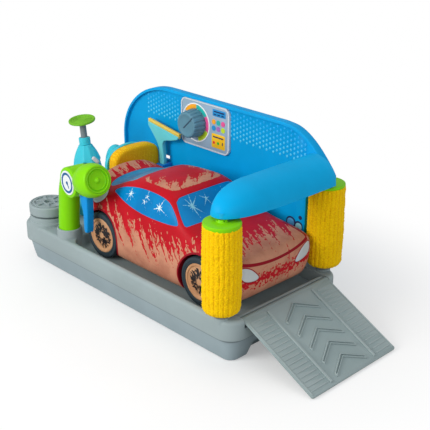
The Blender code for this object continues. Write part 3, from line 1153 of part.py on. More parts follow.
# Corner wheel on its turret
def make_corner_wheel():
    place = Matrix.Translation((CORNER_X, CORNER_Y, 0))
    low = TURRET_TOP + GAP
    disc_low = WHEEL_DISC_TOP - WHEEL_DISC_THICKNESS
    bore = WHEEL_POST_RADIUS + RUNNING_GAP
    edge = WHEEL_DISC_EDGE
    head = WHEEL_POST_HEAD + RUNNING_GAP
    head_low = WHEEL_DISC_TOP - WHEEL_HEAD_HEIGHT - WHEEL_RELIEF
    profile = [(bore, low), (WHEEL_NECK_RADIUS, low), (WHEEL_NECK_RADIUS, disc_low), (WHEEL_DISC_RADIUS - edge, disc_low),
               (WHEEL_DISC_RADIUS, disc_low + edge), (WHEEL_DISC_RADIUS, WHEEL_DISC_TOP - edge),
               (WHEEL_DISC_RADIUS - edge, WHEEL_DISC_TOP), (head, WHEEL_DISC_TOP), (head, head_low - RUNNING_GAP),
               (bore, head_low - RUNNING_GAP)]
    disc = add_object("corner_wheel", turn(profile, 36, place), GREY_PLASTIC, None, (CORNER_X, CORNER_Y, low))
    for index in range(WHEEL_SPOKES):
        start = 2 * math.pi * index / WHEEL_SPOKES
        sweep = 2 * math.pi / WHEEL_SPOKES * WHEEL_POCKET_SHARE
        pocket = []
        for radius, order in ((WHEEL_POCKET_OUTER, (0, 1, 2)), (WHEEL_POCKET_INNER, (2, 1, 0))):
            for step in order:
                angle = start + sweep * step / 2
                pocket.append((CORNER_X + radius * math.cos(angle), CORNER_Y + radius * math.sin(angle)))
        cut(disc, stack([[(x, y, z) for x, y in pocket] for z in (WHEEL_DISC_TOP - WHEEL_RELIEF,
                                                                   WHEEL_DISC_TOP + OVERRUN)]))
    foot = TURRET_TOP - SPINDLE_SEAT_DEPTH
    post = [(0, foot), (WHEEL_POST_RADIUS, foot), (WHEEL_POST_RADIUS, head_low), (WHEEL_POST_HEAD, head_low),
            (WHEEL_POST_HEAD, head_low + WHEEL_HEAD_HEIGHT), (0, head_low + WHEEL_HEAD_HEIGHT)]
    add_object("corner_wheel_post", turn(post, 20, place), STEEL)


# Toy car standing in the bay
def car_x(share):
    """A place along the car, from tail to nose."""
    return FRONT_X - CAR_NOSE_SETBACK - CAR_LENGTH * (1 - share)


def make_car():
    rings = []
    for place, low, low_wide, middle, wide, belt, belt_wide, roof, roof_wide, top in CAR_SHARES:
        x = car_x(place)
        half = [(CAR_SOLE_SHARE * low_wide, low), (low_wide, low), (wide, middle), (belt_wide, belt),
                (roof_wide, roof)]
        ring = [(x, CAR_CAGE_HALF_WIDTH * y, BAY_FLOOR_HEIGHT + CAR_HEIGHT * z) for y, z in half]
        ring.append((x, 0, BAY_FLOOR_HEIGHT + CAR_HEIGHT * top))
        ring += [(x, -CAR_CAGE_HALF_WIDTH * y, BAY_FLOOR_HEIGHT + CAR_HEIGHT * z) for y, z in reversed(half)]
        rings.append(ring)
    body = add_object("car_body", stack(rings), CAR_RED)
    smooth = body.modifiers.new("rounded_body", "SUBSURF")
    smooth.levels = 1
    smooth.render_levels = 1
    axle_z = BAY_FLOOR_HEIGHT + GAP + WHEEL_RADIUS
    far = CAR_HALF_WIDTH + OVERRUN
    tyre_inner = CAR_HALF_WIDTH - TYRE_WIDTH - ARCH_GAP / 2
    for setback in (FRONT_AXLE_SETBACK, REAR_AXLE_SETBACK):
        x = FRONT_X - setback
        radius = WHEEL_RADIUS + ARCH_GAP
        for low, high in ((-far, -tyre_inner), (tyre_inner, far)):
            cut(body, turn([(0, -high), (radius, -high), (radius, -low), (0, -low)], 36, along_y(x, 0, axle_z)))
        way = AXLE_RADIUS + OVERRUN / 4
        cut(body, turn([(0, -far), (way, -far), (way, far), (0, far)], 16, along_y(x, 0, axle_z)))
    inside = CHASSIS_HALF_WIDTH + CAR_CAVITY_MARGIN
    rear, front = car_x(CAR_SHARES[0][0]) + CHASSIS_END_REACH, car_x(CAR_SHARES[-1][0]) - CHASSIS_END_REACH
    cut(body, box((rear - CAR_CAVITY_MARGIN, -inside, BAY_FLOOR_HEIGHT),
                  (front + CAR_CAVITY_MARGIN, inside, BAY_FLOOR_HEIGHT + CAR_CAVITY_HEIGHT)))
    make_chassis(rear, front, axle_z)
    for end, setback in (("front", FRONT_AXLE_SETBACK), ("rear", REAR_AXLE_SETBACK)):
        make_axle(end, FRONT_X - setback, axle_z)


def make_chassis(rear, front, axle_z):
    top = CHASSIS_LOW + CHASSIS_THICKNESS
    plate = box((rear, -CHASSIS_HALF_WIDTH, CHASSIS_LOW), (front, CHASSIS_HALF_WIDTH, top))
    chassis = add_object("car_chassis", plate, CHASSIS_BLACK)
    wall = AXLE_RADIUS + BEARING_WALL
    for setback in (FRONT_AXLE_SETBACK, REAR_AXLE_SETBACK):
        x = FRONT_X - setback
        for side in (-1, 1):
            y = side * (CHASSIS_HALF_WIDTH - BEARING_HALF_LENGTH)
            fuse(chassis, box((x - wall, y - BEARING_HALF_LENGTH, CHASSIS_LOW + CHASSIS_THICKNESS / 2),
                              (x + wall, y + BEARING_HALF_LENGTH, axle_z + wall)))
        bore, far = AXLE_RADIUS + RUNNING_GAP, CHASSIS_HALF_WIDTH + OVERRUN
        cut(chassis, turn([(0, -far), (bore, -far), (bore, far), (0, far)], 20, along_y(x, 0, axle_z)))
    middle = (rear + front) / 2
    for side in (-1, 1):
        fuse(chassis, rod(SCREW_POST_RADIUS, CHASSIS_LOW + CHASSIS_THICKNESS / 2,
                          BAY_FLOOR_HEIGHT + CAR_CAVITY_HEIGHT - GAP, (middle + side * CHASSIS_POST_OFFSET, 0), 20))


def make_axle(end, x, z):
    frame = along_y(x, 0, z)
    origin = (x, 0, z)
    reach = AXLE_HALF_LENGTH
    add_object("axle_" + end, turn([(0, -reach), (AXLE_RADIUS, -reach), (AXLE_RADIUS, reach), (0, reach)], 16, frame),
               STEEL, None, origin)
    outer = CAR_HALF_WIDTH
    inner = outer - TYRE_WIDTH
    edge = TYRE_EDGE
    for label, side in (("near", -1), ("far", 1)):
        mirror = Matrix.Diagonal((1, -side, 1, 1)) if side > 0 else Matrix.Identity(4)
        turned = Matrix.Translation(origin) @ mirror @ Matrix.Rotation(math.pi / 2, 4, "X")
        tyre = [(HUB_RADIUS + GAP, inner), (WHEEL_RADIUS - edge, inner), (WHEEL_RADIUS, inner + edge),
                (WHEEL_RADIUS, outer - edge), (WHEEL_RADIUS - edge, outer), (HUB_RADIUS + GAP, outer)]
        add_object("tyre_" + end + "_" + label, turn(tyre, 24, turned), TYRE_BLACK, None, origin)
        bore = AXLE_RADIUS + GAP
        face = outer - HUB_RECESS
        hub = [(0, reach + GAP), (bore, reach + GAP), (bore, face - HUB_THICKNESS), (HUB_RADIUS, face - HUB_THICKNESS),
               (HUB_RADIUS, outer - edge), (HUB_RADIUS - edge, outer - edge), (HUB_RADIUS - HUB_RIM, face),
               (0, face + HUB_RECESS / 2)]
        add_object("hub_" + end + "_" + label, turn(hub, 24, turned), HUB_BEIGE, None, origin)


bottle_frame = add_empty("bottle_frame", (FRONT_X - BOTTLE_SETBACK, BOTTLE_OFFSET, RIM_HEIGHT - BOTTLE_SEAT_DEPTH),
                         (0, -BOTTLE_LEAN, 0))
gun_frame = add_empty("gun_frame", (FRONT_X - CUP_SETBACK, CUP_OFFSET, CUP_TOP - CUP_DEPTH + GAP), (0, 0, GUN_TURN))

make_deck()
make_skirt()
for label, matrix in zip(("rear", "middle", "front"), panel_screw_frames()):
    add_screw("wall_screw_" + label, matrix)
make_ramp()
make_wall()
make_arch()
make_roller("near", -1, NEAR_SPINDLE_TOP)
make_roller("far", 1, EAR_BOTTOM_HEIGHT + SOCKET_DEPTH - GAP)
make_controls()
make_squeegee()
make_brush()
make_bottle()
make_gun()
make_corner_wheel()
make_car()
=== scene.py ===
import json
import math

import bmesh
import bpy
import numpy
from mathutils import Matrix, Vector, noise

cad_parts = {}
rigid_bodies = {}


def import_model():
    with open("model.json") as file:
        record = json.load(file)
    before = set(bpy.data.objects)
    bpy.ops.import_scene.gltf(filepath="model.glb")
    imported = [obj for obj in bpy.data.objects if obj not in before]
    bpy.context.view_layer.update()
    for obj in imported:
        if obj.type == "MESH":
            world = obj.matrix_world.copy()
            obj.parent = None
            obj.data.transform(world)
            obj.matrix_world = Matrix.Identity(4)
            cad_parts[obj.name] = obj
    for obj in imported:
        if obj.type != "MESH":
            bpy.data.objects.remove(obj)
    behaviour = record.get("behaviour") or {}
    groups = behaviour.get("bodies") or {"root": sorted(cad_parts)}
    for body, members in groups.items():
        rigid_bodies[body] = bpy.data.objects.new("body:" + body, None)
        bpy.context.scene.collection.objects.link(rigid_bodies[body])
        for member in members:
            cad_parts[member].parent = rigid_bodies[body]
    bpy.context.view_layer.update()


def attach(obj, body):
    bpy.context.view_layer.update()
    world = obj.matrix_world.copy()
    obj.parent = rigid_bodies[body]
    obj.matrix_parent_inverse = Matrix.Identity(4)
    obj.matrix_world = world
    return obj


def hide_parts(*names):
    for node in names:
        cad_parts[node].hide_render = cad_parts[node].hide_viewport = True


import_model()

# Places of the CAD, in metres. FRONT and LEFT are the tray's ends in X, HALF its half width, RIM its top
# and FLOOR the floor of the car bay. GAP is the air between a loose piece and its seat.
FRONT = 0.1834012
HINGE, HINGE_Z, HINGE_RADIUS = FRONT - 0.006, 0.06, 0.0055
LEFT = FRONT - 0.485
HALF = 0.112
RIM = 0.066
FLOOR = 0.048
ROLLER_X, ROLLER_Y = FRONT - 0.0267, 0.103
SPINDLE_HOLE = 0.0033
WALL_FACE, WALL_BACK = 0.092, 0.106
PAD_FRONT, PAD_DEPTH = FRONT - 0.3635, 0.019
ENDS = (("near", -1), ("far", 1))
GAP = 0.0003


# Geometry helpers
def at(x, y, z=0):
    return Matrix.Translation((x, y, z))


def spin(degrees, axis):
    return Matrix.Rotation(math.radians(degrees), 4, axis)


def along_y(x, y, z):
    return at(x, y, z) @ spin(90, "X")


def moved(shape, matrix):
    bmesh.ops.transform(shape, matrix=matrix, verts=shape.verts)
    return shape


def circle(steps):
    """The angles of even steps all the way round."""
    return [2 * math.pi * step / steps for step in range(steps)]


def quarter(steps):
    """The angles of even steps from 0 to 90 degrees."""
    return [math.radians(90 * step / steps) for step in range(steps + 1)]


def bridge(shape, low, high):
    """Faces between two rings. Corners that fall together are used once."""
    for step in range(len(low)):
        after = (step + 1) % len(low)
        shape.faces.new(list(dict.fromkeys([low[step], low[after], high[after], high[step]])))


def stack(rings, shape=None):
    """A closed solid through rings with as many points each."""
    if shape is None:
        shape = bmesh.new()
    rows = [[shape.verts.new(point) for point in ring] for ring in rings]
    for low, high in zip(rows, rows[1:]):
        bridge(shape, low, high)
    shape.faces.new(list(reversed(rows[0])))
    shape.faces.new(rows[-1])
    return shape


def slices(outline, rows, axis=2):
    """A solid through outlines along an axis. Each row has a size for the outline and its place."""
    rings = []
    for size, place in rows:
        rings.append([(*point[:axis], place, *point[axis:]) for point in outline(size)])
    return stack(rings)


def layers(outline, rows, axis=2):
    """A solid of one outline, inset row by row."""
    return slices(lambda inset: inset_outline(outline, inset) if inset else outline, rows, axis)


def prism(outline, low, high, axis=2):
    return layers(outline, ((0, low), (0, high)), axis)


def circle_verts(shape, radius, height, steps):
    return [shape.verts.new((radius * math.cos(a), radius * math.sin(a), height)) for a in circle(steps)]


def turn(profile, steps=64, matrix=None, fine=5):
    """A turned solid from points of radius and height, and a rounding where there is a third number."""
    shape = bmesh.new()
    rows = []
    for radius, height in fillet(profile, fine):
        if radius == 0:
            rows.append([shape.verts.new((0, 0, height))] * steps)
        else:
            rows.append(circle_verts(shape, radius, height, steps))
    if profile[0][0]:
        rows.append(rows[0])
    for low, high in zip(rows, rows[1:]):
        bridge(shape, low, high)
    return moved(shape, matrix) if matrix else shape


def fillet(points, steps):
    """An open profile, rounded at each point that has a radius as its third number."""
    result = []
    for index, (x, z, *radius) in enumerate(points):
        if not radius:
            result.append((x, z))
            continue
        here = Vector((x, z))
        back, ahead = [(Vector(points[index + step][:2]) - here).normalized() * radius[0] for step in (-1, 1)]
        for step in range(steps + 1):
            share = step / steps
            result.append(tuple((here + back * (1 - share)).lerp(here + ahead * share, share)))
    return result


def rod(radius, low, high, centre=(0, 0), steps=48):
    return turn([(0, low), (radius, low), (radius, high), (0, high)], steps, at(*centre))


def rectangle(x_low, x_high, y_low, y_high):
    return [(x_low, y_low), (x_high, y_low), (x_high, y_high), (x_low, y_high)]


def box(low, high):
    return prism(rectangle(low[0], high[0], low[1], high[1]), low[2], high[2])


def arc(centre, radii, start, end, steps):
    points = []
    for step in range(steps + 1):
        angle = math.radians(start + (end - start) * step / steps)
        points.append((centre[0] + radii[0] * math.cos(angle), centre[1] + radii[1] * math.sin(angle)))
    return points


def rounded_rectangle(x_low, x_high, y_low, y_high, radius, steps=10):
    centres = rectangle(x_low + radius, x_high - radius, y_low + radius, y_high - radius)
    points = []
    for turned, centre in enumerate(centres[1:] + centres[:1]):
        points += arc(centre, (radius, radius), 90 * turned - 90, 90 * turned, steps)
    return points


def superellipse(radii, power, steps):
    def reach(share):
        return math.copysign(abs(share) ** (2 / power), share)
    return [(reach(math.cos(a)) * radii[0], reach(math.sin(a)) * radii[1]) for a in circle(steps)]


def inset_outline(points, distance):
    result = []
    for index in range(len(points)):
        before, here, after = [Vector(points[(index + step) % len(points)]) for step in (-1, 0, 1)]
        first, second = (here - before).normalized(), (after - here).normalized()
        normal = Vector((-first.y - second.y, first.x + second.x)).normalized()
        facing = max(normal.dot(Vector((-first.y, first.x))), 0.35)
        result.append(tuple(here + normal * distance / facing))
    return result


def clip_right(points, limit):
    """The part of an outline left of a limit."""
    kept = []
    for index, here in enumerate(points):
        before = points[index - 1]
        if (before[0] < limit) != (here[0] < limit):
            share = (limit - before[0]) / (here[0] - before[0])
            kept.append((limit, before[1] + (here[1] - before[1]) * share))
        if here[0] < limit:
            kept.append(here)
    return kept


def edge_rows(radius, steps):
    """Inset and depth of rings round an edge, from the face inwards."""
    return [(radius * (1 - math.sin(a)), radius * (1 - math.cos(a))) for a in quarter(steps)]


def rounded_plate(points, y_front, y_back, rounding, steps=4, round_back=True):
    """An upright plate whose face edges are rounded over."""
    edge = edge_rows(rounding, steps)
    rows = [(inset, y_front + depth) for inset, depth in edge]
    if round_back:
        rows += [(inset, y_back - depth) for inset, depth in reversed(edge)]
    else:
        rows.append((0, y_back))
    return layers(points, rows, 1)


def ring_outline(centre, inner, outer, start, end, steps):
    return arc(centre, (outer, outer), start, end, steps) + arc(centre, (inner, inner), end, start, steps)


def to_object(name, shape):
    bmesh.ops.recalc_face_normals(shape, faces=shape.faces)
    mesh = bpy.data.meshes.new(name)
    shape.to_mesh(mesh)
    shape.free()
    made = bpy.data.objects.new(name, mesh)
    bpy.context.scene.collection.objects.link(made)
    return made


def modify(target, kind, **settings):
    """Add a modifier and apply it."""
    modifier = target.modifiers.new(kind.lower(), kind)
    for key, value in settings.items():
        setattr(modifier, key, value)
    depsgraph = bpy.context.evaluated_depsgraph_get()
    depsgraph.update()
    old, target.data = target.data, bpy.data.meshes.new_from_object(target.evaluated_get(depsgraph))
    target.modifiers.clear()
    bpy.data.meshes.remove(old)


def boolean(target, shape, operation):
    tool = to_object("tool", shape)
    modify(target, "BOOLEAN", object=tool, operation=operation, solver="EXACT")
    bpy.data.objects.remove(tool, do_unlink=True)


def cut(target, shape):
    boolean(target, shape, "DIFFERENCE")


def fuse(target, shape):
    boolean(target, shape, "UNION")


def bevel(target, width, segments=3, angle=35):
    modify(target, "BEVEL", width=width, segments=segments, limit_method="ANGLE",
           angle_limit=math.radians(angle))


def dress(target, material, body, nodes=(), sharp=35):
    """Shade a piece, give it its material, tie it to its body and let it stand for its CAD nodes."""
    target.data.shade_smooth()
    target.data.set_sharp_from_angle(angle=math.radians(sharp))
    target.data.materials.append(material)
    if nodes:
        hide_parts(*nodes)
    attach(target, body)


def join_shapes(shapes):
    """Put several bmeshes into the first."""
    target = shapes[0]
    for shape in shapes:
        bmesh.ops.recalc_face_normals(shape, faces=shape.faces)
    for other in shapes[1:]:
        mesh = bpy.data.meshes.new("join")
        other.to_mesh(mesh)
        other.free()
        target.from_mesh(mesh)
        bpy.data.meshes.remove(mesh)
    return target


# Material helpers
def srgb(red, green, blue):
    def linear(value):
        share = value / 255
        return share / 12.92 if share <= 0.04045 else ((share + 0.055) / 1.055) ** 2.4
    return (linear(red), linear(green), linear(blue), 1.0)


def tint(colour, scale, lift=0.0):
    return tuple(min(c * scale + lift, 1) for c in colour[:3]) + (1.0,)


class Value:
    """The output of a shader node, which can be calculated with."""

    def __init__(self, nodes, socket):
        self.nodes, self.socket = nodes, socket

    def __add__(self, other):
        return self.nodes.math("ADD", self, other)

    def __sub__(self, other):
        return self.nodes.math("SUBTRACT", self, other)

    def __rsub__(self, other):
        return self.nodes.math("SUBTRACT", other, self)

    def __mul__(self, other):
        return self.nodes.math("MULTIPLY", self, other)

    def __truediv__(self, other):
        return self.nodes.math("DIVIDE", self, other)


class Nodes:
    """A writer of shader nodes. A Value is linked, anything else is set as it is."""

    def __init__(self, owner):
        owner.use_nodes = True
        self.tree = owner.node_tree

    def put(self, socket, value):
        if isinstance(value, Value):
            self.tree.links.new(value.socket, socket)
        else:
            socket.default_value = value

    def add(self, kind, inputs=None, out=0, **settings):
        node = self.tree.nodes.new("ShaderNode" + kind)
        for key, value in settings.items():
            setattr(node, key, value)
        for key, value in (inputs or {}).items():
            self.put(node.inputs[key], value)
        return Value(self, node.outputs[out])

    def math(self, operation, first, second=0.0):
        return self.add("Math", {0: first, 1: second}, operation=operation)

    def length(self, first, second):
        return self.math("SQRT", first * first + second * second)

    def mix(self, share, first, second):
        return self.add("Mix", {0: share, 6: first, 7: second}, out=2, data_type="RGBA")

    def ramp(self, share, low, high, start=0.0, end=1.0):
        return self.add("MapRange", {0: share, 1: low, 2: high, 3: start, 4: end},
                        interpolation_type="SMOOTHSTEP")

    def vector(self, x, y, z=0.0):
        return self.add("CombineXYZ", {0: x, 1: y, 2: z})

    def split(self, vector):
        node = self.tree.nodes.new("ShaderNodeSeparateXYZ")
        self.put(node.inputs[0], vector)
        return [Value(self, socket) for socket in node.outputs]


class Paint(Nodes):
    """The nodes of a new material."""

    def __init__(self, name):
        self.material = bpy.data.materials.new(name)
        super().__init__(self.material)
        self.shader = self.tree.nodes["Principled BSDF"]
        self.coords = self.add("TexCoord", out="Object")

    def set(self, **inputs):
        for key, value in inputs.items():
            self.put(self.shader.inputs[key.replace("_", " ")], value)
        return self.material

    def noise(self, scale, detail, roughness, coords=None):
        return self.add("TexNoise", {"Vector": coords or self.coords, "Scale": scale, "Detail": detail,
                                     "Roughness": roughness})

    def voronoi(self, scale, coords=None, randomness=1.0):
        return self.add("TexVoronoi", {"Vector": coords or self.coords, "Scale": scale,
                                       "Randomness": randomness})

    def cells(self, place, scale):
        """Distance to the nearest of scattered points along a line."""
        return self.add("TexVoronoi", {"W": place * scale, "Scale": 1.0}, voronoi_dimensions="1D")

    def scaled(self, *scale):
        return self.add("Mapping", {"Vector": self.coords, "Scale": scale})

    def attribute(self, name):
        return self.add("Attribute", out=2, attribute_name=name)

    def blotch(self, share, low, high, first, second):
        """Two colours with a soft edge between them."""
        return self.mix(self.ramp(share, low, high), srgb(*first), srgb(*second))

    def bump(self, height, strength, distance, below=None):
        inputs = {"Height": height, "Strength": strength, "Distance": distance}
        if below:
            inputs["Normal"] = below
        return self.add("Bump", inputs)


# Materials
# Painted shade: a dark colour for the crease where the deck overhangs the skirt.
SEAM_SHADE = (0.05, 0.06, 0.065, 1.0)
ZINC = (0.55, 0.56, 0.58, 1.0)
MOTTLE = 0.05


def moulded(name, colour, roughness=0.42, grain=0.25, specular=0.2, subsurface=0.0, edge_wear_and_light=0.12, seam_shade=None):
    """Moulded plastic: fine grain, a little mottling, uneven gloss, lighter edges that are wear and painted
    highlight, and painted shade in a seam.
    """
    n, colour = Paint(name), srgb(*colour)
    base = n.mix(n.ramp(n.noise(14.0, 4.0, 0.55), 0.3, 0.7), tint(colour, 1 - MOTTLE),
                 tint(colour, 1 + MOTTLE, MOTTLE * 0.02))
    scuff = n.ramp(n.noise(60.0, 6.0, 0.7, n.scaled(1.0, 1.0, 0.35)), 0.62, 0.78)
    base = n.mix(scuff * 0.05, base, tint(colour, 0.8, 0.18))
    # Convex edges are painted lighter: wear, and a painted highlight.
    edge = n.ramp(n.add("NewGeometry", out="Pointiness"), 0.52, 0.6)
    base = n.mix(edge * edge_wear_and_light, base, tint(colour, 0.85, 0.15))
    # Painted shade: the colour darkens towards a given height, in the crease under the deck's edge.
    if seam_shade:
        low, high, share = seam_shade
        base = n.mix(n.ramp(n.split(n.coords)[2], low, high, 0.0, share), base, SEAM_SHADE)
    if subsurface:
        n.set(Subsurface_Weight=subsurface, Subsurface_Scale=0.003,
              Subsurface_Radius=tuple(max(c, 0.05) for c in colour[:3]))
    return n.set(Base_Color=base, Roughness=n.noise(35.0, 4.0, 0.6) * 0.16 + (roughness - 0.08),
                 Normal=n.bump(n.noise(900.0, 2.0, 0.6), grain, 0.0002), Specular_IOR_Level=specular)


def steel():
    n = Paint("zinc_steel")
    streak = n.noise(300.0, 3.0, 0.6, n.scaled(1.0, 1.0, 12.0))
    return n.set(Base_Color=n.mix(n.ramp(streak, 0.3, 0.7), tint(ZINC, 0.8), ZINC), Metallic=1.0,
                 Roughness=n.ramp(streak, 0.2, 0.8, 0.25, 0.45), Normal=n.bump(streak, 0.15, 0.0002))


def dot_material():
    n = Paint("dot_blue")
    cloud = n.noise(70.0, 3.0, 0.6) * 0.35
    low = n.mix(cloud, srgb(92, 204, 240), srgb(50, 182, 232))
    # Painted light and shade: the dots are lighter low on the wall and darker towards the top.
    return n.set(Base_Color=n.mix(n.ramp(n.split(n.coords)[2], 0.222, 0.262), low, srgb(24, 176, 240)),
                 Roughness=cloud + 0.3, Specular_IOR_Level=0.25,
                 Normal=n.bump(n.noise(900.0, 2.0, 0.6), 0.1, 0.0002))


def chenille_material():
    n = Paint("chenille_yellow")
    tuft, fibre = n.voronoi(520.0), n.noise(2400.0, 3.0, 0.65)
    # Painted shade: the sleeve is darker in the grooves between ribs and tufts and lighter on their tops.
    base = n.blotch(n.attribute("depth"), 0.0, 0.75, (224, 160, 0), (255, 210, 4))
    base = n.mix(n.ramp(tuft, 0.35, 0.75) * 0.3, base, srgb(228, 166, 0))
    base = n.mix(n.ramp(fibre, 0.55, 0.8) * 0.25, base, srgb(255, 226, 70))
    return n.set(Base_Color=base, Normal=n.bump(fibre, 0.5, 0.0003, n.bump(tuft, 0.5, 0.0008)),
                 Roughness=0.95, Specular_IOR_Level=0.1, Sheen_Weight=0.2, Sheen_Roughness=0.5,
                 Sheen_Tint=srgb(255, 230, 120))


def knit_material():
    n = Paint("knit_yellow")
    weave = n.ramp(n.voronoi(300.0, n.scaled(1.0, 1.0, 1.35), 0.22), 0.16, 0.6)
    fibre = n.noise(2600.0, 3.0, 0.65)
    thread = n.blotch(n.noise(90.0, 3.0, 0.6), 0.3, 0.7, (255, 204, 14), (255, 218, 40))
    # Painted shade: the holes of the weave are darker than its threads.
    base = n.mix(n.ramp(fibre, 0.5, 0.8) * 0.25, n.mix(weave, thread, srgb(234, 172, 0)), srgb(255, 226, 110))
    return n.set(Base_Color=base, Roughness=weave * -0.1 + 0.85, Specular_IOR_Level=0.15,
                 Normal=n.bump(fibre, 0.4, 0.0003, n.bump(weave, 0.4, -0.0005)),
                 Sheen_Weight=0.2, Sheen_Tint=srgb(255, 226, 130))


GREY = moulded("tray_grey_plastic", (153, 167, 169), 0.5, 0.3)
# The skirt darkens towards its top and the deck towards its lower edge: painted shade in the crease between
# them.
SKIRT_GREY = moulded("skirt_grey_plastic", (151, 167, 173), 0.5, 0.3, seam_shade=(0.0305, 0.0345, 0.85))
DECK_GREY = moulded("deck_grey_plastic", (153, 167, 169), 0.5, 0.3, seam_shade=(0.0376, 0.0366, 0.6))
# The ramp's edges are painted much lighter: a painted highlight on its chevrons and bars, with some wear.
RAMP_GREY = moulded("ramp_grey_plastic", (146, 162, 163), 0.52, 0.3, edge_wear_and_light=0.55)
WALL_BLUE = moulded("wall_blue_plastic", (0, 160, 224), 0.46, 0.18, 0.1)
ARCH_BLUE = moulded("arch_blue_plastic", (0, 168, 226), 0.44, 0.15, 0.1)
DARK_BLUE = moulded("bracket_blue_plastic", (0, 118, 200))
KNOB_GREY = moulded("knob_grey_plastic", (92, 138, 158), 0.45, 0.2)
PAD_GREEN = moulded("pad_green_plastic", (118, 184, 46), 0.6, 0.2, 0.1)
LIME = moulded("lime_plastic", (132, 216, 6), 0.36, 0.12, 0.15, 0.05)
TEAL = moulded("teal_plastic", (62, 194, 214), 0.36, 0.12, subsurface=0.08)
PALE_TEAL = moulded("pale_teal_plastic", (104, 208, 220), 0.36, 0.12, subsurface=0.05)
BLADE_YELLOW = moulded("blade_yellow_rubber", (236, 202, 92), 0.62, 0.4)
STEM_GREY = moulded("stem_grey_plastic", (118, 128, 134), 0.38)
TRIGGER_BLUE = moulded("trigger_blue_plastic", (0, 140, 214), 0.36, 0.15, 0.12)
GAUGE_BLUE = moulded("gauge_blue_print", (4, 92, 150), 0.4, 0.1)
POINTER_GREY = moulded("pointer_grey_plastic", (44, 74, 96), 0.5, 0.2)
# Painted light: pale grey for the bright backdrop seen through the bottle's loop hole.
LOOP_HOLE_LIGHT = moulded("pale_grey_plastic", (206, 200, 202), 0.4, 0.2)
WHITE = moulded("white_plastic", (232, 236, 238), 0.35, 0.1)
BLACK = moulded("chassis_black_plastic", (38, 38, 42), 0.6, 0.4)
CORE_GREY = moulded("core_grey_plastic", (196, 200, 204), 0.5, 0.3)
PLATE_RIM = moulded("plate_rim_silver", (206, 214, 220), 0.35, 0.1)
PLATE_FACE = moulded("plate_face_grey", (146, 172, 194), 0.42, 0.1)
TYRE_BLACK = moulded("tyre_black", (46, 60, 68), 0.6, 0.4)
NAVY = moulded("print_navy", (16, 30, 84), 0.45, 0.05)
BUBBLE_WHITE = moulded("bubble_white", (92, 176, 232), 0.35, 0.05)
BUBBLE_TEAL = moulded("bubble_teal", (150, 214, 226), 0.35, 0.05)
PRINT = {}
for shade, values in (("white", (240, 242, 244)), ("orange", (246, 168, 36)), ("teal", (30, 178, 170)),
                      ("pink", (226, 84, 150)), ("lime", (190, 220, 40)), ("blue", (30, 140, 206)),
                      ("purple", (166, 108, 190)), ("yellow", (242, 194, 30)), ("red", (222, 34, 44)),
                      ("green", (60, 178, 44))):
    PRINT[shade] = moulded("print_" + shade, values, 0.4, 0.05)
STEEL = steel()


# Base
CORNER, SHELL = 0.027, 0.0035
PLATFORM_FLOOR, ABOVE = 0.0445, 0.08
CUP = (FRONT - 0.377, -0.0903)
WHEEL = (LEFT + 0.039, -HALF + 0.033)
BOTTLE_PLACE = at(FRONT - 0.42, -0.009, 0.06) @ spin(-8, "Y")


def tray_outline(inset, steps=14):
    return rounded_rectangle(LEFT + inset, FRONT - inset, -HALF + inset, HALF - inset, CORNER - inset, steps)


def bay_outline(grow):
    return rounded_rectangle(FRONT - 0.36 - grow, FRONT - 0.043 + grow, -0.103 - grow, 0.09 + grow,
                             0.024 + grow, 12)


def make_deck():
    rows = [(0.0012, 0.036), (0.0003, 0.0364), (0, 0.0373)]
    rows += [(inset, RIM - depth) for inset, depth in reversed(edge_rows(0.006, 8))]
    deck = to_object("deck_shell", slices(tray_outline, rows))
    cut(deck, prism(tray_outline(SHELL, 10), 0.03, PLATFORM_FLOOR))
    cut(deck, slices(bay_outline, (
        (-0.004, FLOOR), (-0.0022, FLOOR + 0.0004), (-0.0008, FLOOR + 0.0014), (0, FLOOR + 0.0035),
        (0, RIM - 0.0022), (0.0003, RIM - 0.0012), (0.0009, RIM - 0.0004), (0.002, RIM), (0.0021, ABOVE))))
    end, start, beyond = HINGE - HINGE_RADIUS - 0.0015, FRONT - 0.067, FRONT + 0.004
    top, seat = HINGE_Z + HINGE_RADIUS - 0.0018, HINGE_Z - HINGE_RADIUS - 0.0015
    threshold = [(start, FLOOR), (end - 0.025, FLOOR), (end - 0.0215, FLOOR + 0.0016),
                 (end - 0.0045, top - 0.0006), (end - 0.0035, top), (end - 0.0004, top),
                 (end, top - 0.0006), (end, seat + 0.002), (end + 0.0015, seat), (beyond, seat),
                 (beyond, ABOVE), (start, ABOVE)]
    cut(deck, prism(threshold, -0.0866, 0.0866, 1))
    turret = [(0, PLATFORM_FLOOR), (0.0335, PLATFORM_FLOOR), (0.0335, 0.0715, 0.001), (0.0315, 0.0715, 0.001),
              (0.0315, 0.079, 0.0012), (0, 0.079)]
    fuse(deck, turn(turret, 64, at(*WHEEL)))
    cup = [(0, PLATFORM_FLOOR), (0.0196, PLATFORM_FLOOR), (0.0196, 0.066), (0.0192, 0.0785, 0.0008),
           (0.0186, 0.0795, 0.0004), (0.0173, 0.0795, 0.0003), (0, 0.0795)]
    fuse(deck, turn(cup, 56, at(*CUP)))
    cut(deck, rod(0.0168, 0.0545, 0.09, CUP, 56))
    pad_y, pad_half, play = 0.0365, 0.0504, 0.0006
    slot = rounded_rectangle(PAD_FRONT - 0.0255 - play, PAD_FRONT + play, pad_y - pad_half,
                             pad_y + pad_half, 0.003, 4)
    cut(deck, prism(slot, 0.0617, ABOVE))
    cut(deck, moved(prism(superellipse((0.0278, 0.0228), 2.3, 48), -GAP, 0.033), BOTTLE_PLACE))
    for _, side in ENDS:
        centre = (ROLLER_X, side * ROLLER_Y)
        collar = [(0, 0.06), (0.0105, 0.06), (0.0105, 0.0675, 0.0008), (0, 0.0675)]
        fuse(deck, turn(collar, 40, at(*centre)))
        cut(deck, rod(SPINDLE_HOLE, 0.054, ABOVE, centre, 32))
    dress(deck, DECK_GREY, "base", ["base_deck"], 30)


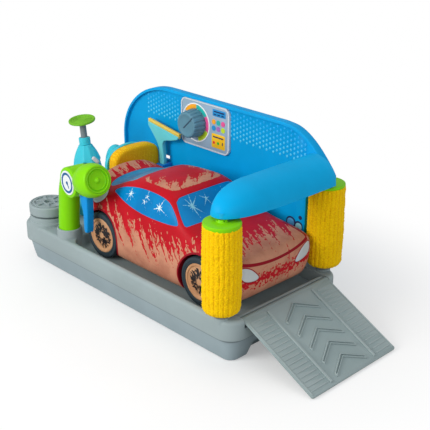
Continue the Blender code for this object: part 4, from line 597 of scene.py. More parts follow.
def make_skirt():
    foot, top, draft, inwards = 0.003, 0.0357, 0.0075, 0.0125
    rows = [(inwards + inset, depth) for inset, depth in edge_rows(foot, 6)]
    rows += [(inwards - draft * z / top, z) for z in (0.012, 0.024, 0.0345)]
    rows += [(0.0052, 0.0354), (0.0058, top)]
    skirt = to_object("skirt_shell", slices(tray_outline, rows))
    wall = 0.0155
    cut(skirt, prism(rounded_rectangle(LEFT + wall, FRONT - 0.034, -HALF + wall, HALF - wall, 0.009), foot,
                     0.05))
    notch = [(0.072, -0.004), (0.0675, 0.004), (0.0645, 0.014), (0.0615, 0.0185), (0.056, 0.021)]
    notch = [(-0.072, -0.004)] + notch + [(-y, z) for y, z in notch[:0:-1]]
    cut(skirt, prism(notch, FRONT - 0.026, FRONT + 0.004, 0))
    for end in (LEFT + 0.058, FRONT - 0.058):
        for side in (-0.07, 0.07):
            cut(skirt, rod(0.0046, -0.004, 0.0021, (end, side), 32))
    dress(skirt, SKIRT_GREY, "base", ["base_skirt"], 30)


# Ramp, drawn flat in the hinge's own frame
RAMP_LENGTH, RAMP_HALF, RAMP_UNDER = 0.1365, 0.086, 0.0015


def make_ramp():
    high, low, corner = HINGE_RADIUS, HINGE_RADIUS - 0.002, 0.003
    raised, fine = high + 0.0019, high + 0.0007
    slope = math.asin((HINGE_Z - 0.0006) / math.hypot(RAMP_LENGTH, RAMP_UNDER))
    slope += math.atan(RAMP_UNDER / RAMP_LENGTH)
    outline = [(0, RAMP_HALF), (0, -RAMP_HALF)]
    outline += arc((RAMP_LENGTH - corner, corner - RAMP_HALF), (corner, corner), -90, 0, 5)
    outline += arc((RAMP_LENGTH - corner, RAMP_HALF - corner), (corner, corner), 0, 90, 5)
    ramp = to_object("ramp_flap_plate", layers(outline, (
        (0.0011, RAMP_UNDER), (0.0003, RAMP_UNDER + 0.0004), (0, RAMP_UNDER + 0.0011), (0, high - 0.0011),
        (0.0003, high - 0.0004), (0.0011, high))))
    barrel = [(0, -RAMP_HALF), (HINGE_RADIUS, -RAMP_HALF, 0.0006), (HINGE_RADIUS, RAMP_HALF, 0.0006),
              (0, RAMP_HALF)]
    fuse(ramp, turn(barrel, 40, along_y(0, 0, 0)))
    pieces, grooves = [], []

    def bar(points, top=fine, rounding=0.0003):
        pieces.append(layers(points, ((0, low), (0, top - rounding), (rounding, top))))

    for side in (-1, 1):
        y = side * 0.045
        bar(rectangle(0.0055, 0.131, y - 0.0018, y + 0.0018), raised, 0.0004)
        y = side * 0.0838
        bar(rectangle(0.0075, 0.133, y - 0.001, y + 0.001))
        for index in range(17):
            x = 0.0105 + 0.00735 * index
            y_low, y_high = sorted((side * 0.052, side * 0.081))
            bar(rectangle(x - 0.0009, x + 0.0009, y_low, y_high))
            y = side * 0.0492
            bar(rounded_rectangle(x - 0.0010, x + 0.0010, y - 0.0010, y + 0.0010, 0.0009, 3))
    arm, rise, wide = 0.0335, 0.0205, 0.0052
    for index in range(5):
        tip = 0.0098 + 0.0236 * index
        end = min(tip + rise, 0.1285 - wide)
        reach = arm * (end - tip) / rise
        chevron = [(tip, 0), (end, -reach), (end + wide, -reach), (tip + wide * 1.2, 0), (end + wide, reach),
                   (end, reach)]
        bar(chevron, raised, 0.0004)
        grooves.append(layers(inset_outline(chevron, 0.0015), (
            (0, high + 0.0001), (0, raised - 0.0002), (-0.0003, raised + 0.001))))
    fuse(ramp, join_shapes(pieces))
    cut(ramp, join_shapes(grooves))
    ramp.data.transform(at(HINGE, 0, HINGE_Z) @ Matrix.Rotation(slope, 4, "Y"))
    dress(ramp, RAMP_GREY, "ramp_flap", ["ramp"], 28)


# Rear wall
WALL_TOP, EAR_LOW, FIELD_FACE = 0.271, 0.2045, 0.098
WALL_SHOULDER = ((-0.018, 0.2165), (-0.0224, 0.2222), (-0.0346, 0.2358), (-0.0468, 0.2476), (-0.0588, 0.2568),
                 (-0.0708, 0.2638), (-0.0828, 0.2683), (-0.0971, 0.2703), (-0.112, WALL_TOP))


def wall_outline():
    left, right, ear_tip = LEFT + 0.021, FRONT - 0.0557, FRONT - 0.0145
    bottom, ear_top = RIM + GAP, EAR_LOW + 0.007
    reach, drop, bulge = 0.116, 0.1, 0.0003
    points = [(left, bottom), (right, bottom), (right, EAR_LOW), (ear_tip, EAR_LOW), (ear_tip, ear_top)]
    shoulder = [(FRONT + x, z) for x, z in WALL_SHOULDER]
    for a, b in zip(shoulder, shoulder[1:]):
        points += [a, ((a[0] + b[0]) / 2, (a[1] + b[1]) / 2 + bulge)]
    return points + shoulder[-1:] + arc((left + reach, WALL_TOP - drop), (reach, drop), 90, 180, 40)


def recess(wall, field):
    cut(wall, layers(field, ((0, FIELD_FACE - 0.01), (0, FIELD_FACE - 0.0012), (0.0004, FIELD_FACE - 0.0003),
                             (0.0012, FIELD_FACE)), 1))


def make_wall():
    outline = wall_outline()
    wall = to_object("wall_panel", rounded_plate(outline, WALL_FACE, WALL_BACK, 0.0011, 3))
    whole = inset_outline(outline, 0.0042)
    field = clip_right(whole, FRONT - 0.073)
    recess(wall, field)
    left, right, low = FRONT - 0.09, FRONT - 0.0575, 0.2165
    upper = [(x, z) for x, z in clip_right(whole, right) if x > left and z > low + 0.0035]
    recess(wall, [(left, low), (right, low)] + upper)
    cut(wall, prism(field, 0.102, 0.11, 1))
    fuse(wall, box((LEFT + 0.068, 0.097, 0.054), (FRONT - 0.1105, 0.103, RIM + 0.002)))
    cut(wall, prism(rectangle(FRONT - 0.374, FRONT - 0.3525, 0.1495, 0.1565), WALL_FACE, WALL_BACK, 1))
    fuse(wall, rod(0.0075, EAR_LOW, 0.2135, (ROLLER_X, ROLLER_Y), 40))
    cut(wall, rod(SPINDLE_HOLE, 0.2, 0.211, (ROLLER_X, ROLLER_Y), 24))
    dress(wall, WALL_BLUE, "base", ["rear_wall"], 30)


def dot_places():
    """Raised dots in two fields of the wall, in millimetres from the nose end."""
    step, places = 7.15, []

    def column(x, z, low, top):
        while z < top:
            if z > low:
                places.append((x, z))
            z += step

    for index in range(12):
        x = -403 + 6.55 * index
        curve = 163 + 100 * math.sqrt(max(0, 1 - ((x + 348) / 116) ** 2)) if x < -348 else 261
        column(x, 225.4 if index % 2 else 221.7, 0, min(261, curve))
    for index in range(23):
        x = -211.9 + 6.66 * index
        column(x, 220.4 if index % 2 else 224.2, 219 + max(x + 84, 0) * 0.62, 260 - max(x + 92, 0) * 0.42)
    return places


def dot_ring(x, z, share, depth):
    reach_x, reach_z = 0.00185 * share, 0.0021 * share
    return [(FRONT + x / 1000 + reach_x * math.cos(a), FIELD_FACE - depth, z / 1000 + reach_z * math.sin(a))
            for a in circle(14)]


def make_dots():
    shape = bmesh.new()
    rows = ((1.0, -0.0001), (0.94, 0.0002), (0.78, 0.0005), (0.5, 0.0007), (0.2, 0.0008))
    for x, z in dot_places():
        stack([dot_ring(x, z, share, depth) for share, depth in rows], shape)
    dress(to_object("wall_dots", shape), dot_material(), "base", (), 60)


def make_bubbles():
    """Three plain bubble stickers beside the arch, in millimetres from the nose end."""
    for name, x, z, face, reach, material in (
            ("bubble_left_rim", -86.5, 122.5, FIELD_FACE, 8.6, NAVY),
            ("bubble_left", -86.8, 122.0, FIELD_FACE, 6.4, BUBBLE_WHITE),
            ("bubble_right_rim", -67.0, 124.0, WALL_FACE, 7.0, NAVY),
            ("bubble_right", -66.6, 122.6, WALL_FACE, 5.6, BUBBLE_TEAL),
            ("bubble_small", -64.2, 137.0, WALL_FACE, 3.1, NAVY)):
        lift = 0.0002 if material is NAVY else 0.0004
        outline = [(FRONT + (x + reach * 1.08 * math.cos(a)) / 1000, (z + reach * math.sin(a)) / 1000)
                   for a in circle(40)]
        dress(to_object(name, prism(outline, face + 0.0001, face - lift, 1)), material, "base", (), 40)


# Arch
ARCH_LIFT, ARCH_BASE, ARCH_BEND, ARCH_TIP = 0.0034, 0.2035, -0.046, 0.1113
FULL, SLIM = 2 / 2.2, 2 / 1.75


def arch_ring(taper, inset, foot, y, steps=24):
    outer, inner, middle, crest = FRONT - 0.0035, FRONT - 0.06, FRONT - 0.033, FRONT - 0.045
    share = min(max((0.03 - y) / 0.14, 0), 1)
    lift = ARCH_LIFT * share * share * (3 - 2 * share)
    rise = 0.037 * (1 - lift / 0.04) - inset
    section = [(crest + (outer - inset - crest) * math.cos(a) ** FULL, rise * math.sin(a) ** FULL)
               for a in quarter(steps)]
    section += [(crest - (crest - inner - inset) * math.sin(a) ** SLIM, rise * math.cos(a) ** SLIM)
                for a in quarter(steps // 2)[1:]]
    low = ARCH_BASE + lift
    ring = [(middle + (x - middle) * taper, y, low + z * taper) for x, z in section]
    return ring + [(ring[-1][0], y, low - foot), (ring[0][0], y, low - foot)]


def arch_stack(inset, root, foot):
    reach = ARCH_TIP + ARCH_BEND - inset
    rings = [arch_ring(1, inset, foot, root + (ARCH_BEND - root) * step / 9) for step in range(9)]
    for step in range(29):
        angle = math.radians(87.5 * step / 28)
        rings.append(arch_ring(math.cos(angle) ** FULL, inset, foot,
                               ARCH_BEND - reach * math.sin(angle) ** FULL))
    return stack(rings)


def make_arch():
    arch = to_object("arch_visor", arch_stack(0, 0.0917, 0.00015))
    cut(arch, arch_stack(0.003, 0.084, 0.004))
    fuse(arch, rod(0.0068, ARCH_BASE + 0.0001 + ARCH_LIFT, 0.2142, (ROLLER_X, -ROLLER_Y), 40))
    cut(arch, rod(SPINDLE_HOLE, 0.2, 0.2128, (ROLLER_X, -ROLLER_Y), 24))
    dress(arch, ARCH_BLUE, "base", ["arch"], 40)


# Rollers
NEAR_RISE = 0.002
RIBS = 24


def rounded_end(share, reach, loss):
    """Less radius within reach of an end of the sleeve."""
    if share >= reach:
        return 1.0
    return math.sqrt(max(0.0, 1 - ((reach - share) / reach) ** 2)) * loss + 1 - loss


def make_sleeve(label, side, material):
    around, rows = RIBS * 10, 150
    low, high = 0.0752, 0.1965 + (NEAR_RISE if side < 0 else 0)
    seed, bore = 3.1 if side < 0 else 8.7, 0.0199
    shape = bmesh.new()
    groove_shade_layer = shape.verts.layers.float.new("depth")
    grid = []
    for row in range(rows + 1):
        share = row / rows
        height = low + (high - low) * share
        radius = 0.0246 + 0.0007 * math.sin(math.pi * min(share * 1.2, 1)) + 0.0002 * share
        radius *= rounded_end(share, 0.07, 0.28) * rounded_end(1 - share, 0.045, 0.16)
        ring = []
        for angle in circle(around):
            cosine, sine = math.cos(angle), math.sin(angle)
            sway = 0.045 * noise.noise(Vector((cosine * 1.5, sine * 1.5, height * 18 + seed)))
            rib = abs(math.cos((angle + sway) * RIBS / 2)) ** 0.4
            place = Vector((radius * cosine, radius * sine, height))
            cell = noise.voronoi(place * 560 + Vector((seed, 0, 0)))[0]
            tuft = 1 - min(cell[0] * 1.25, 1.0)
            coarse = noise.noise(place * 130 + Vector((0, seed, 0)))
            grown = radius + 0.0010 * rib + 0.0015 * tuft * (0.45 + 0.55 * rib) + 0.0007 * coarse - 0.0010
            vert = shape.verts.new((grown * cosine, grown * sine, height + 0.0005 * noise.noise(place * 400)))
            # Rib and tuft height, which the sleeve's colour follows as painted shade in the grooves.
            vert[groove_shade_layer] = min(max(0.5 * rib + 0.6 * tuft, 0), 1)
            ring.append(vert)
        grid.append(ring)
    bottom, top = [circle_verts(shape, bore, z, around) for z in (low, high - 0.0015)]
    grid += [top, bottom]
    for a, b in zip(grid, grid[1:] + grid[:1]):
        bridge(shape, a, b)
    sleeve = to_object("sleeve_" + label, moved(shape, at(ROLLER_X, side * ROLLER_Y)))
    dress(sleeve, material, "roller_" + label, ["roller_sleeve_" + label], 180)


def make_rollers():
    material = chenille_material()
    for label, side in ENDS:
        place = at(ROLLER_X, side * ROLLER_Y)
        make_sleeve(label, side, material)
        low, top = 0.1953, 0.1993 + (NEAR_RISE if side < 0 else 0)
        cap = [(0.0034, low), (0.0242, low, 0.0004), (0.025, top - 0.0022, 0.0006),
               (0.0246, top - 0.0002, 0.0005), (0.0235, top, 0.0008), (0.0075, top, 0.0012),
               (0.0065, top + 0.0035, 0.0007), (0.0034, top + 0.0035)]
        piece = to_object("cap_" + label, turn(cap, 72, place, 4))
        for turned in range(4):
            blade = box((-0.0011, 0.0035, top + 0.0012), (0.0011, 0.0085, top + 0.006))
            cut(piece, moved(blade, place @ spin(-20 + 90 * turned, "Z")))
        dress(piece, LIME, "roller_" + label, ["roller_cap_" + label], 30)


# Control plate and dial
PANEL = (FRONT - 0.2675, 0.2262)
PANEL_FACE = 0.0947
DIAL = (PANEL[0] - 0.018, PANEL[1] + 0.0033)
POINTER_TURN = spin(-46, "Z")


def print_patch(name, outline, material, depth=0.0003, lift=0.0002):
    """A thin printed or raised patch on the control plate's face."""
    face = PANEL_FACE - lift
    patch = layers(outline, ((0, face + 0.0001), (0, face - depth * 0.6),
                             (min(0.00015, depth * 0.5), face - depth)), 1)
    dress(to_object(name, patch), material, "base", (), 40)


def slab(x_low, x_high, z_low, z_high, radius):
    """A rounded rectangle on the panel, from sizes in millimetres."""
    x_low, x_high, z_low, z_high, radius = (value / 1000 for value in (x_low, x_high, z_low, z_high, radius))
    return rounded_rectangle(PANEL[0] + x_low, PANEL[0] + x_high, PANEL[1] + z_low, PANEL[1] + z_high,
                             radius, 6)


def square(x, z, reach, radius):
    return slab(x - reach, x + reach, z - reach, z + reach, radius)


def make_panel():
    x, z = FRONT - 0.266, 0.2282
    corners = rounded_rectangle(x - 0.0535, x + 0.0535, z - 0.0374, z + 0.0374, 0.011, 12)
    plate = to_object("control_panel", rounded_plate(corners, 0.0937, 0.0977, 0.0009, 4, False))
    inner = inset_outline(corners, 0.0024)
    cut(plate, prism(inner, 0.09, PANEL_FACE, 1))
    dress(plate, PLATE_RIM, "base", ["control_plate"], 30)
    print_patch("panel_face", inset_outline(inner, 0.0001), PLATE_FACE, lift=0)
    for name, start in (("high", 0), ("low", 180)):
        print_patch("dial_ring_" + name, ring_outline(DIAL, 0.0291, 0.031, start, start + 180, 40),
                    PRINT["white"], 0.0006)
    for name, start, end in (("orange", 88.5, 146), ("teal", 32.5, 87.5), ("pink", -21.5, 31.5),
                             ("lime", -79, -22.5)):
        print_patch("dial_mark_" + name, ring_outline(DIAL, 0.0222, 0.0291, start, end, 24), PRINT[name])


def print_screen():
    print_patch("screen", slab(19.3, 47.5, 22.6, 33.4, 1.2), PRINT["blue"])
    print_patch("screen_line", slab(22, 44.5, 28.9, 30.9, 0.6), NAVY, lift=0.0004)
    for index, middle in enumerate((24.3, 32.7, 41.2)):
        dash = slab(middle - 2.4, middle + 2.4, 24.6, 26.3, 0.6)
        print_patch("screen_dash_%d" % index, dash, NAVY, lift=0.0004)


def print_buttons():
    for row, names in enumerate((("orange", "teal", "pink"), ("blue", "purple", "lime"))):
        for column, name in enumerate(names):
            button = square(22 + 10.1 * column, 13.3 - 10 * row, 4.1, 4)
            print_patch("button_%d_%d" % (row, column), button, PRINT[name], 0.0008)


def print_gauge():
    print_patch("gauge_panel", slab(17.4, 46.4, -27.8, -5.2, 1.8), PRINT["yellow"])
    print_patch("gauge_slot", slab(20.3, 43.1, -11.4, -9.2, 0.9), NAVY, lift=0.0004)
    for name, x, z in (("red", 22.6, -19.6), ("green", 31.7, -19.3)):
        print_patch("gauge_" + name, square(x, z, 2.3, 2.25), PRINT[name], 0.0006, 0.0004)
    print_patch("gauge_bar", slab(40.3, 42.1, -21.3, -16.1, 0.6), NAVY, lift=0.0004)


def make_dial():
    flutes, fine, flute_depth = 18, 12, 0.0013
    rings = []
    for radius, height, share in ((0.0208, 0, 0.4), (0.0224, 0.0004, 1), (0.0225, 0.0014, 1),
                                  (0.0209, 0.0165, 1), (0.0205, 0.0192, 0.9), (0.0200, 0.0204, 0.6),
                                  (0.0192, 0.0211, 0.3), (0.0182, 0.0215, 0), (0.0160, 0.0215, 0),
                                  (0.0153, 0.0212, 0), (0.0146, 0.0208, 0), (0.008, 0.0207, 0),
                                  (0.002, 0.0207, 0)):
        ring = []
        for angle in circle(flutes * fine):
            reach = radius - max(0.0, math.cos(angle * flutes)) ** 0.8 * flute_depth * share
            ring.append((reach * math.cos(angle), reach * math.sin(angle), height))
        rings.append(ring)
    knob = to_object("dial_fluted_knob", stack(rings))
    wide, deep = 0.0012, 0.03
    cut(knob, moved(box((-wide, -0.009, 0.0203), (wide, 0.03, deep)), POINTER_TURN))
    lean = POINTER_TURN @ at(0, 0.0214) @ Matrix.Rotation(math.atan2(0.0016, 0.0165), 4, "X")
    cut(knob, moved(box((-wide, 0.0, -0.001), (wide, 0.003, deep)), lean))
    seat = along_y(DIAL[0], PANEL_FACE - 0.0004, DIAL[1])
    knob.data.transform(seat)
    dress(knob, KNOB_GREY, "dial", ["dial_knob"], 35)
    strip = prism(rounded_rectangle(-0.001, 0.001, -0.0085, 0.0184, 0.0009, 4), 0.0202, 0.0209)
    pointer = to_object("dial_pointer", strip)
    pointer.data.transform(seat @ POINTER_TURN)
    dress(pointer, POINTER_GREY, "dial")


# Squeegee and its holder
FAN_RIGHT = ((0.139, 0.0), (0.139, 0.2), (0.13, 0.40), (0.085, 0.56), (0.075, 0.66), (0.13, 0.725),
             (0.32, 0.765), (0.66, 0.80), (1.02, 0.858))
FAN_LEFT = ((-0.84, 0.985), (-0.62, 0.865), (-0.46, 0.775), (-0.33, 0.70), (-0.25, 0.645), (-0.165, 0.52),
            (-0.139, 0.38), (-0.139, 0.2), (-0.139, 0.0))
BLADE_HALF = ((0.0019, -0.003), (0.0019, 0.0022), (0.0027, 0.0026), (0.0026, 0.0042), (0.0018, 0.0052))


def make_squeegee():
    x, y, foot, height, reach = FRONT - 0.3545, 0.085, 0.131, 0.0755, 0.0375
    line = at(x + 0.0045, y, foot + height) @ spin(8.5, "Y")
    ends = [line @ Vector((side * reach, 0, 0)) for side in (1, -1)]
    right, left = [[(x + a * reach, foot + b * height) for a, b in shares]
                   for shares in (FAN_RIGHT, FAN_LEFT)]
    outline = right + [(end.x, end.z) for end in ends] + left
    handle = to_object("squeegee_body", rounded_plate(outline, y - 0.0035, y + 0.0035, 0.0011))
    cut(handle, moved(box((-reach - 0.002, -0.0023, -0.0033), (reach + 0.002, 0.0023, 0.002)), line))
    dress(handle, PALE_TEAL, "squeegee", ["squeegee_handle"], 35)
    section = [(-a, b) for a, b in BLADE_HALF] + list(BLADE_HALF[::-1])
    rubber = to_object("squeegee_rubber", moved(prism(section, -reach, reach, 0), line))
    bevel(rubber, 0.0004, 2)
    dress(rubber, BLADE_YELLOW, "squeegee", ["squeegee_blade"], 35)
    low = foot - GAP - 0.0025
    holder = to_object("squeegee_holder",
                       box((x - 0.00825, 0.0765, low), (x + 0.00825, 0.0977, low + 0.0185)))
    bevel(holder, 0.0016, 3)
    cut(holder, box((x - 0.0058, y - 0.0041, foot - GAP), (x + 0.0058, y + 0.0041, low + 0.03)))
    dress(holder, DARK_BLUE, "base", ["squeegee_bracket"], 30)


# Brush
def resample(points, count):
    """Even steps round a closed outline."""
    lengths = [0.0]
    for here, after in zip(points, points[1:] + points[:1]):
        lengths.append(lengths[-1] + (Vector(after) - Vector(here)).length)
    result, index = [], 0
    for step in range(count):
        target = lengths[-1] * step / count
        while lengths[index + 1] < target:
            index += 1
        span = max(lengths[index + 1] - lengths[index], 1e-9)
        a, b = Vector(points[index]), Vector(points[(index + 1) % len(points)])
        result.append(tuple(a.lerp(b, (target - lengths[index]) / span)))
    return result


def hex_weave(u, v, pitch=0.0031):
    """Height of a knitted honeycomb: high on the threads, low in the holes."""
    row_step = 0.866
    row = v / (pitch * row_step)
    distances = []
    for j in (math.floor(row), math.floor(row) + 1):
        offset = 0.5 if j % 2 else 0.0
        column = u / pitch - offset
        for i in (math.floor(column), math.floor(column) + 1):
            distances.append(math.hypot(u / pitch - (i + offset), (row - j) * row_step))
    nearest, second = sorted(distances)[:2]
    return min(1.0, max(0.0, 1 - (second - nearest) * 2.6))


def pad_outline(margin):
    """The dome outline of the brush pad, in Y and Z."""
    centre, foot, top, shoulder, corner = 0.0411, 0.062, 0.184, 0.155, 0.008
    low, high, reach, power = foot + margin, top - margin, 0.0464 - margin, 0.66
    points = [(centre - reach, shoulder), (centre - reach, low + corner)]
    points += arc((centre - reach + corner, low + corner), (corner, corner), 180, 270, 5)
    points += arc((centre + reach - corner, low + corner), (corner, corner), -90, 0, 5)
    points.append((centre + reach, shoulder))
    for step in range(1, 28):
        cosine, sine = math.cos(math.pi * step / 28), math.sin(math.pi * step / 28)
        points.append((centre + math.copysign(abs(cosine) ** power, cosine) * reach,
                       shoulder + sine ** power * (high - shoulder)))
    return resample(points, 260)


def make_pad():
    back, rounding, steps, count = PAD_FRONT - PAD_DEPTH, 0.0065, 12, 46
    rows = [(back, 0.003), (back + 0.001, 0.0008)]
    rows += [(back + 0.003 + 0.0095 * step / (steps - 1), 0.0) for step in range(steps)]
    rows += [(PAD_FRONT - rounding + 0.0055 * math.sin(a), rounding * (1 - math.cos(a)))
             for a in quarter(5)[1:]]
    rings = [[(x, y, z) for y, z in pad_outline(margin)] for x, margin in rows]
    middle_y, middle_z = 0.0388, 0.126
    rim = pad_outline(rounding)
    for step in range(1, count + 1):
        share = 1 - step / (count + 0.35)
        x = PAD_FRONT - 0.001 * share ** 3
        ring = [(x, middle_y + (y - middle_y) * share, middle_z + (z - middle_z) * share) for y, z in rim]
        rings.append(ring)
    pad = to_object("brush_mesh_pad", stack(rings))
    normals = [vert.normal.copy() for vert in pad.data.vertices]
    for normal, vert in zip(normals, pad.data.vertices):
        x, y, z = vert.co
        if abs(normal.x) > 0.6:
            value = hex_weave(y, z)
        elif abs(normal.z) > abs(normal.y):
            value = hex_weave(y, x)
        else:
            value = hex_weave(x, z)
        vert.co += normal * (0.0003 * value - 0.0001)
    dress(pad, knit_material(), "brush", ["brush_pad"], 180)


def make_brush():
    make_pad()
    foot, middle, shoulder = 0.062, 0.0365, 0.157
    front = PAD_FRONT - PAD_DEPTH - GAP
    back = front - 0.0065

    def plate_outline(margin):
        reach = 0.0448 - margin
        dome = arc((middle, shoulder), (reach, 0.185 - margin - shoulder), 0, 180, 40)
        return [(middle - reach, foot), (middle + reach, foot)] + dome

    body = to_object("brush_back", slices(plate_outline, (
        (0.0016, back), (0.0006, back + 0.0005), (0, back + 0.0016), (0, front - 0.0008),
        (0.0006, front)), 0))
    x, y, low, height = back - 0.0145, 0.0262, 0.084, 0.096
    shares = ((0, 0.80), (0.04, 0.87), (0.14, 0.96), (0.25, 1), (0.5, 1), (0.62, 1), (0.72, 0.96), (0.8, 0.9),
              (0.87, 0.79), (0.92, 0.67), (0.96, 0.5), (0.985, 0.32), (1, 0.12))
    grip = []
    for rise, share in shares:
        outline = superellipse((0.0165 * share, 0.0175 * share), 2.2, 48)
        grip.append([(x + a, y + b, low + height * rise) for a, b in outline])
    fuse(body, stack(grip))
    dress(body, TEAL, "brush", ["brush_body"], 40)


# Pump bottle
BOTTLE_SHARES = ((0, 0.97), (0.012, 0.995), (0.04, 1), (0.33, 0.965), (0.55, 0.925), (0.66, 0.885),
                 (0.74, 0.835), (0.81, 0.765), (0.865, 0.685), (0.91, 0.6), (0.945, 0.52), (0.975, 0.44),
                 (1, 0.385))
FACETS = ((1, -0.36), (1, 0.36), (0.62, 1), (-0.62, 1), (-1, 0.36), (-1, -0.36), (-0.62, -1), (0.62, -1))
NECK_TOP = 0.1338


def bottle_ring(share, z):
    """An eight-sided ring with softened corners."""
    points = [Vector((0.0278 * a * share, 0.0226 * b * share, z)) for a, b in FACETS]
    ring = []
    for index, here in enumerate(points):
        before, after = points[index - 1], points[(index + 1) % len(points)]
        ring += [here.lerp(before, part) for part in (0.24, 0.09)]
        ring.append(here.lerp(before, 0.02).lerp(after, 0.02))
        ring += [here.lerp(after, part) for part in (0.09, 0.24, 0.5)]
    return ring


def make_bottle():
    rings = [bottle_ring(share, 0.1215 * rise) for rise, share in BOTTLE_SHARES]
    body = to_object("bottle_shell", stack(rings))
    fuse(body, rod(0.0072, 0.1155, 0.127, steps=40))
    middle, half = 0.0142, 0.00475
    cut(body, prism(rounded_rectangle(middle - half, middle + half, 0.045, 0.0965, 0.0045, 8), -0.03, 0.03,
                    1))
    cut(body, rod(0.0057, 0.07, 0.14, steps=32))
    bevel(body, 0.0011, 3, 50)
    body.data.transform(BOTTLE_PLACE)
    dress(body, TEAL, "bottle", ["bottle_body"], 40)
    # Painted light: a pale grey capsule at the handle's loop hole stands for the bright backdrop seen through
    # the hole and its shaded inner wall.
    along = Vector((0.35, 0.6, -0.72)).to_track_quat("Z", "Y").to_matrix().to_4x4()
    reach, half, steps = 0.0034, 0.0042, 16
    capsule = []
    for step in range(steps + 1):
        angle = math.pi * step / steps
        capsule.append((reach * math.sin(angle), math.copysign(half, step - 7.5) - reach * math.cos(angle)))
    hole_light_capsule = turn(capsule, 28, at(FRONT - 0.4113, -0.0086, 0.1598) @ along)
    dress(to_object("bottle_loop_liner", hole_light_capsule), LOOP_HOLE_LIGHT, "bottle", (), 50)
    low, high, lip = 0.1218, NECK_TOP, 0.1273
    collar = [(0.0075, low), (0.0092, low, 0.0004), (0.0092, high - 0.001, 0.0008), (0.0082, high, 0.0006),
              (0.0057, high), (0.0057, lip), (0.0075, lip)]
    dress(to_object("bottle_ring_collar", turn(collar, 96, BOTTLE_PLACE)), TEAL, "bottle", ["bottle_collar"])


def make_pump():
    low = NECK_TOP + 0.0255
    seat, high, foot = low + 0.00225, low + 0.0045, 0.1058
    stem = [(0, foot), (0.0052, foot), (0.0052, 0.1548, 0.0008), (0.0054, 0.1586, 0.0002), (0.0052, 0.159),
            (0.0052, seat - 0.0003), (0, seat - 0.0003)]
    dress(to_object("pump_stem", turn(stem, 40, BOTTLE_PLACE)), STEM_GREY, "pump", ["plunger_stem"])
    profile = [(0, seat), (0.0055, seat), (0.0055, low), (0.0195, low), (0.0209, low + 0.0006),
               (0.0215, low + 0.0018), (0.02145, high - 0.0012), (0.0209, high - 0.0003), (0.0200, high),
               (0.0188, high - 0.0001)]
    for radius in (0.0165, 0.0135, 0.0105, 0.0075):
        profile += [(radius + 0.0009, high - 0.0005), (radius + 0.0006, high - 0.0011),
                    (radius - 0.0002, high - 0.0011), (radius - 0.0006, high - 0.0006)]
    profile += [(0.004, high - 0.0007), (0.0, high - 0.0009)]
    tip = at(0, 0, low) @ spin(10.5, Vector((1, 1, 0))) @ at(0, 0, -low)
    dress(to_object("pump_pad", turn(profile, 72, BOTTLE_PLACE @ tip)), PAD_GREEN, "pump", ["push_pad"])


# Water gun
GUN_PLACE = at(*CUP, 0.0548) @ spin(-6, "Z")
GUN_RADIUS, GUN_FORWARD, GUN_RISE = 0.0162, 0.032, 0.1105
TRIGGER = (0.056, GUN_RISE - 0.0135)
DRUM = at(GUN_FORWARD, -GUN_RADIUS, GUN_RISE) @ spin(-90, "X")
BARREL = at(GUN_FORWARD, 0, GUN_RISE) @ spin(90 - 16.8, "Y")
HANDLE_SHARES = ((0, 0.93, 0), (0.006, 0.97, 0), (0.015, 1, 0), (0.195, 1, 0), (0.35, 1, 0.03), (0.5, 1, 0.1),
                 (0.65, 1, 0.16), (0.8, 1, 0.22), (0.92, 0.95, 0.3), (1.05, 0.9, 0.4))
BARREL_SHARES = ((-0.1, 0.46), (0.05, 0.52), (0.15, 0.57), (0.25, 0.65), (0.34, 0.745), (0.43, 0.845),
                 (0.52, 0.93), (0.61, 0.98), (0.7, 1), (0.79, 0.985), (0.87, 0.95), (0.93, 0.91),
                 (0.975, 0.87), (1, 0.84))
TRIGGER_SHARES = ((0, 0.5), (0.05, 0.9), (0.2, 1), (0.72, 1), (0.86, 0.9), (1, 0.4))


def make_gun():
    handle = []
    for height, share, lean in HANDLE_SHARES:
        outline = superellipse((GUN_RADIUS * share, GUN_RADIUS * share), 2, 56)
        handle.append([(x + lean * GUN_FORWARD, y, GUN_RISE * height) for x, y in outline])
    body = to_object("gun_shell", stack(handle))
    deep, length = 2 * GUN_RADIUS, 0.0645
    fuse(body, turn([(0, 0), (0.0235, 0, 0.0026), (0.0235, deep, 0.0026), (0, deep)], 80, DRUM))
    barrel = [(0.0258 * share, length * along) for along, share in BARREL_SHARES]
    fuse(body, turn([(0, -0.0066)] + barrel + [(0, length)], 80, BARREL))
    modify(body, "REMESH", mode="VOXEL", voxel_size=0.00065, use_smooth_shade=True)
    modify(body, "SMOOTH", factor=0.5, iterations=9)
    cut(body, turn([(0, 0.0605), (0.0192, 0.0605), (0.0192, 0.0648), (0.0197, 0.07), (0, 0.07)], 80, BARREL))
    cut(body, turn([(0, -0.002), (0.0189, -0.002), (0.0189, 0.0012), (0, 0.0012)], 80, DRUM))
    x, z = TRIGGER
    cut(body, box((x - 0.0114, -0.0066, z - 0.034), (x + 0.0131, 0.0066, z + 0.0082)))
    body.data.transform(GUN_PLACE)
    dress(body, LIME, "water_gun", ["gun_half_near", "gun_half_far"], 40)
    low = 0.0608
    profile = [(0, low), (0.0189, low), (0.0189, low + 0.003), (0.0183, low + 0.0038), (0.0172, low + 0.0038),
               (0.0166, low + 0.003), (0.0162, low + 0.0012), (0.0146, low + 0.0010), (0.0142, low + 0.0022),
               (0.0133, low + 0.0026), (0.0126, low + 0.0018), (0.0046, low + 0.0014), (0.0037, low + 0.0022),
               (0.0030, low + 0.0036), (0.0019, low + 0.0044), (0, low + 0.0046)]
    dress(to_object("gun_front", turn(profile, 72, GUN_PLACE @ BARREL)), LIME, "water_gun", ["gun_nose"])


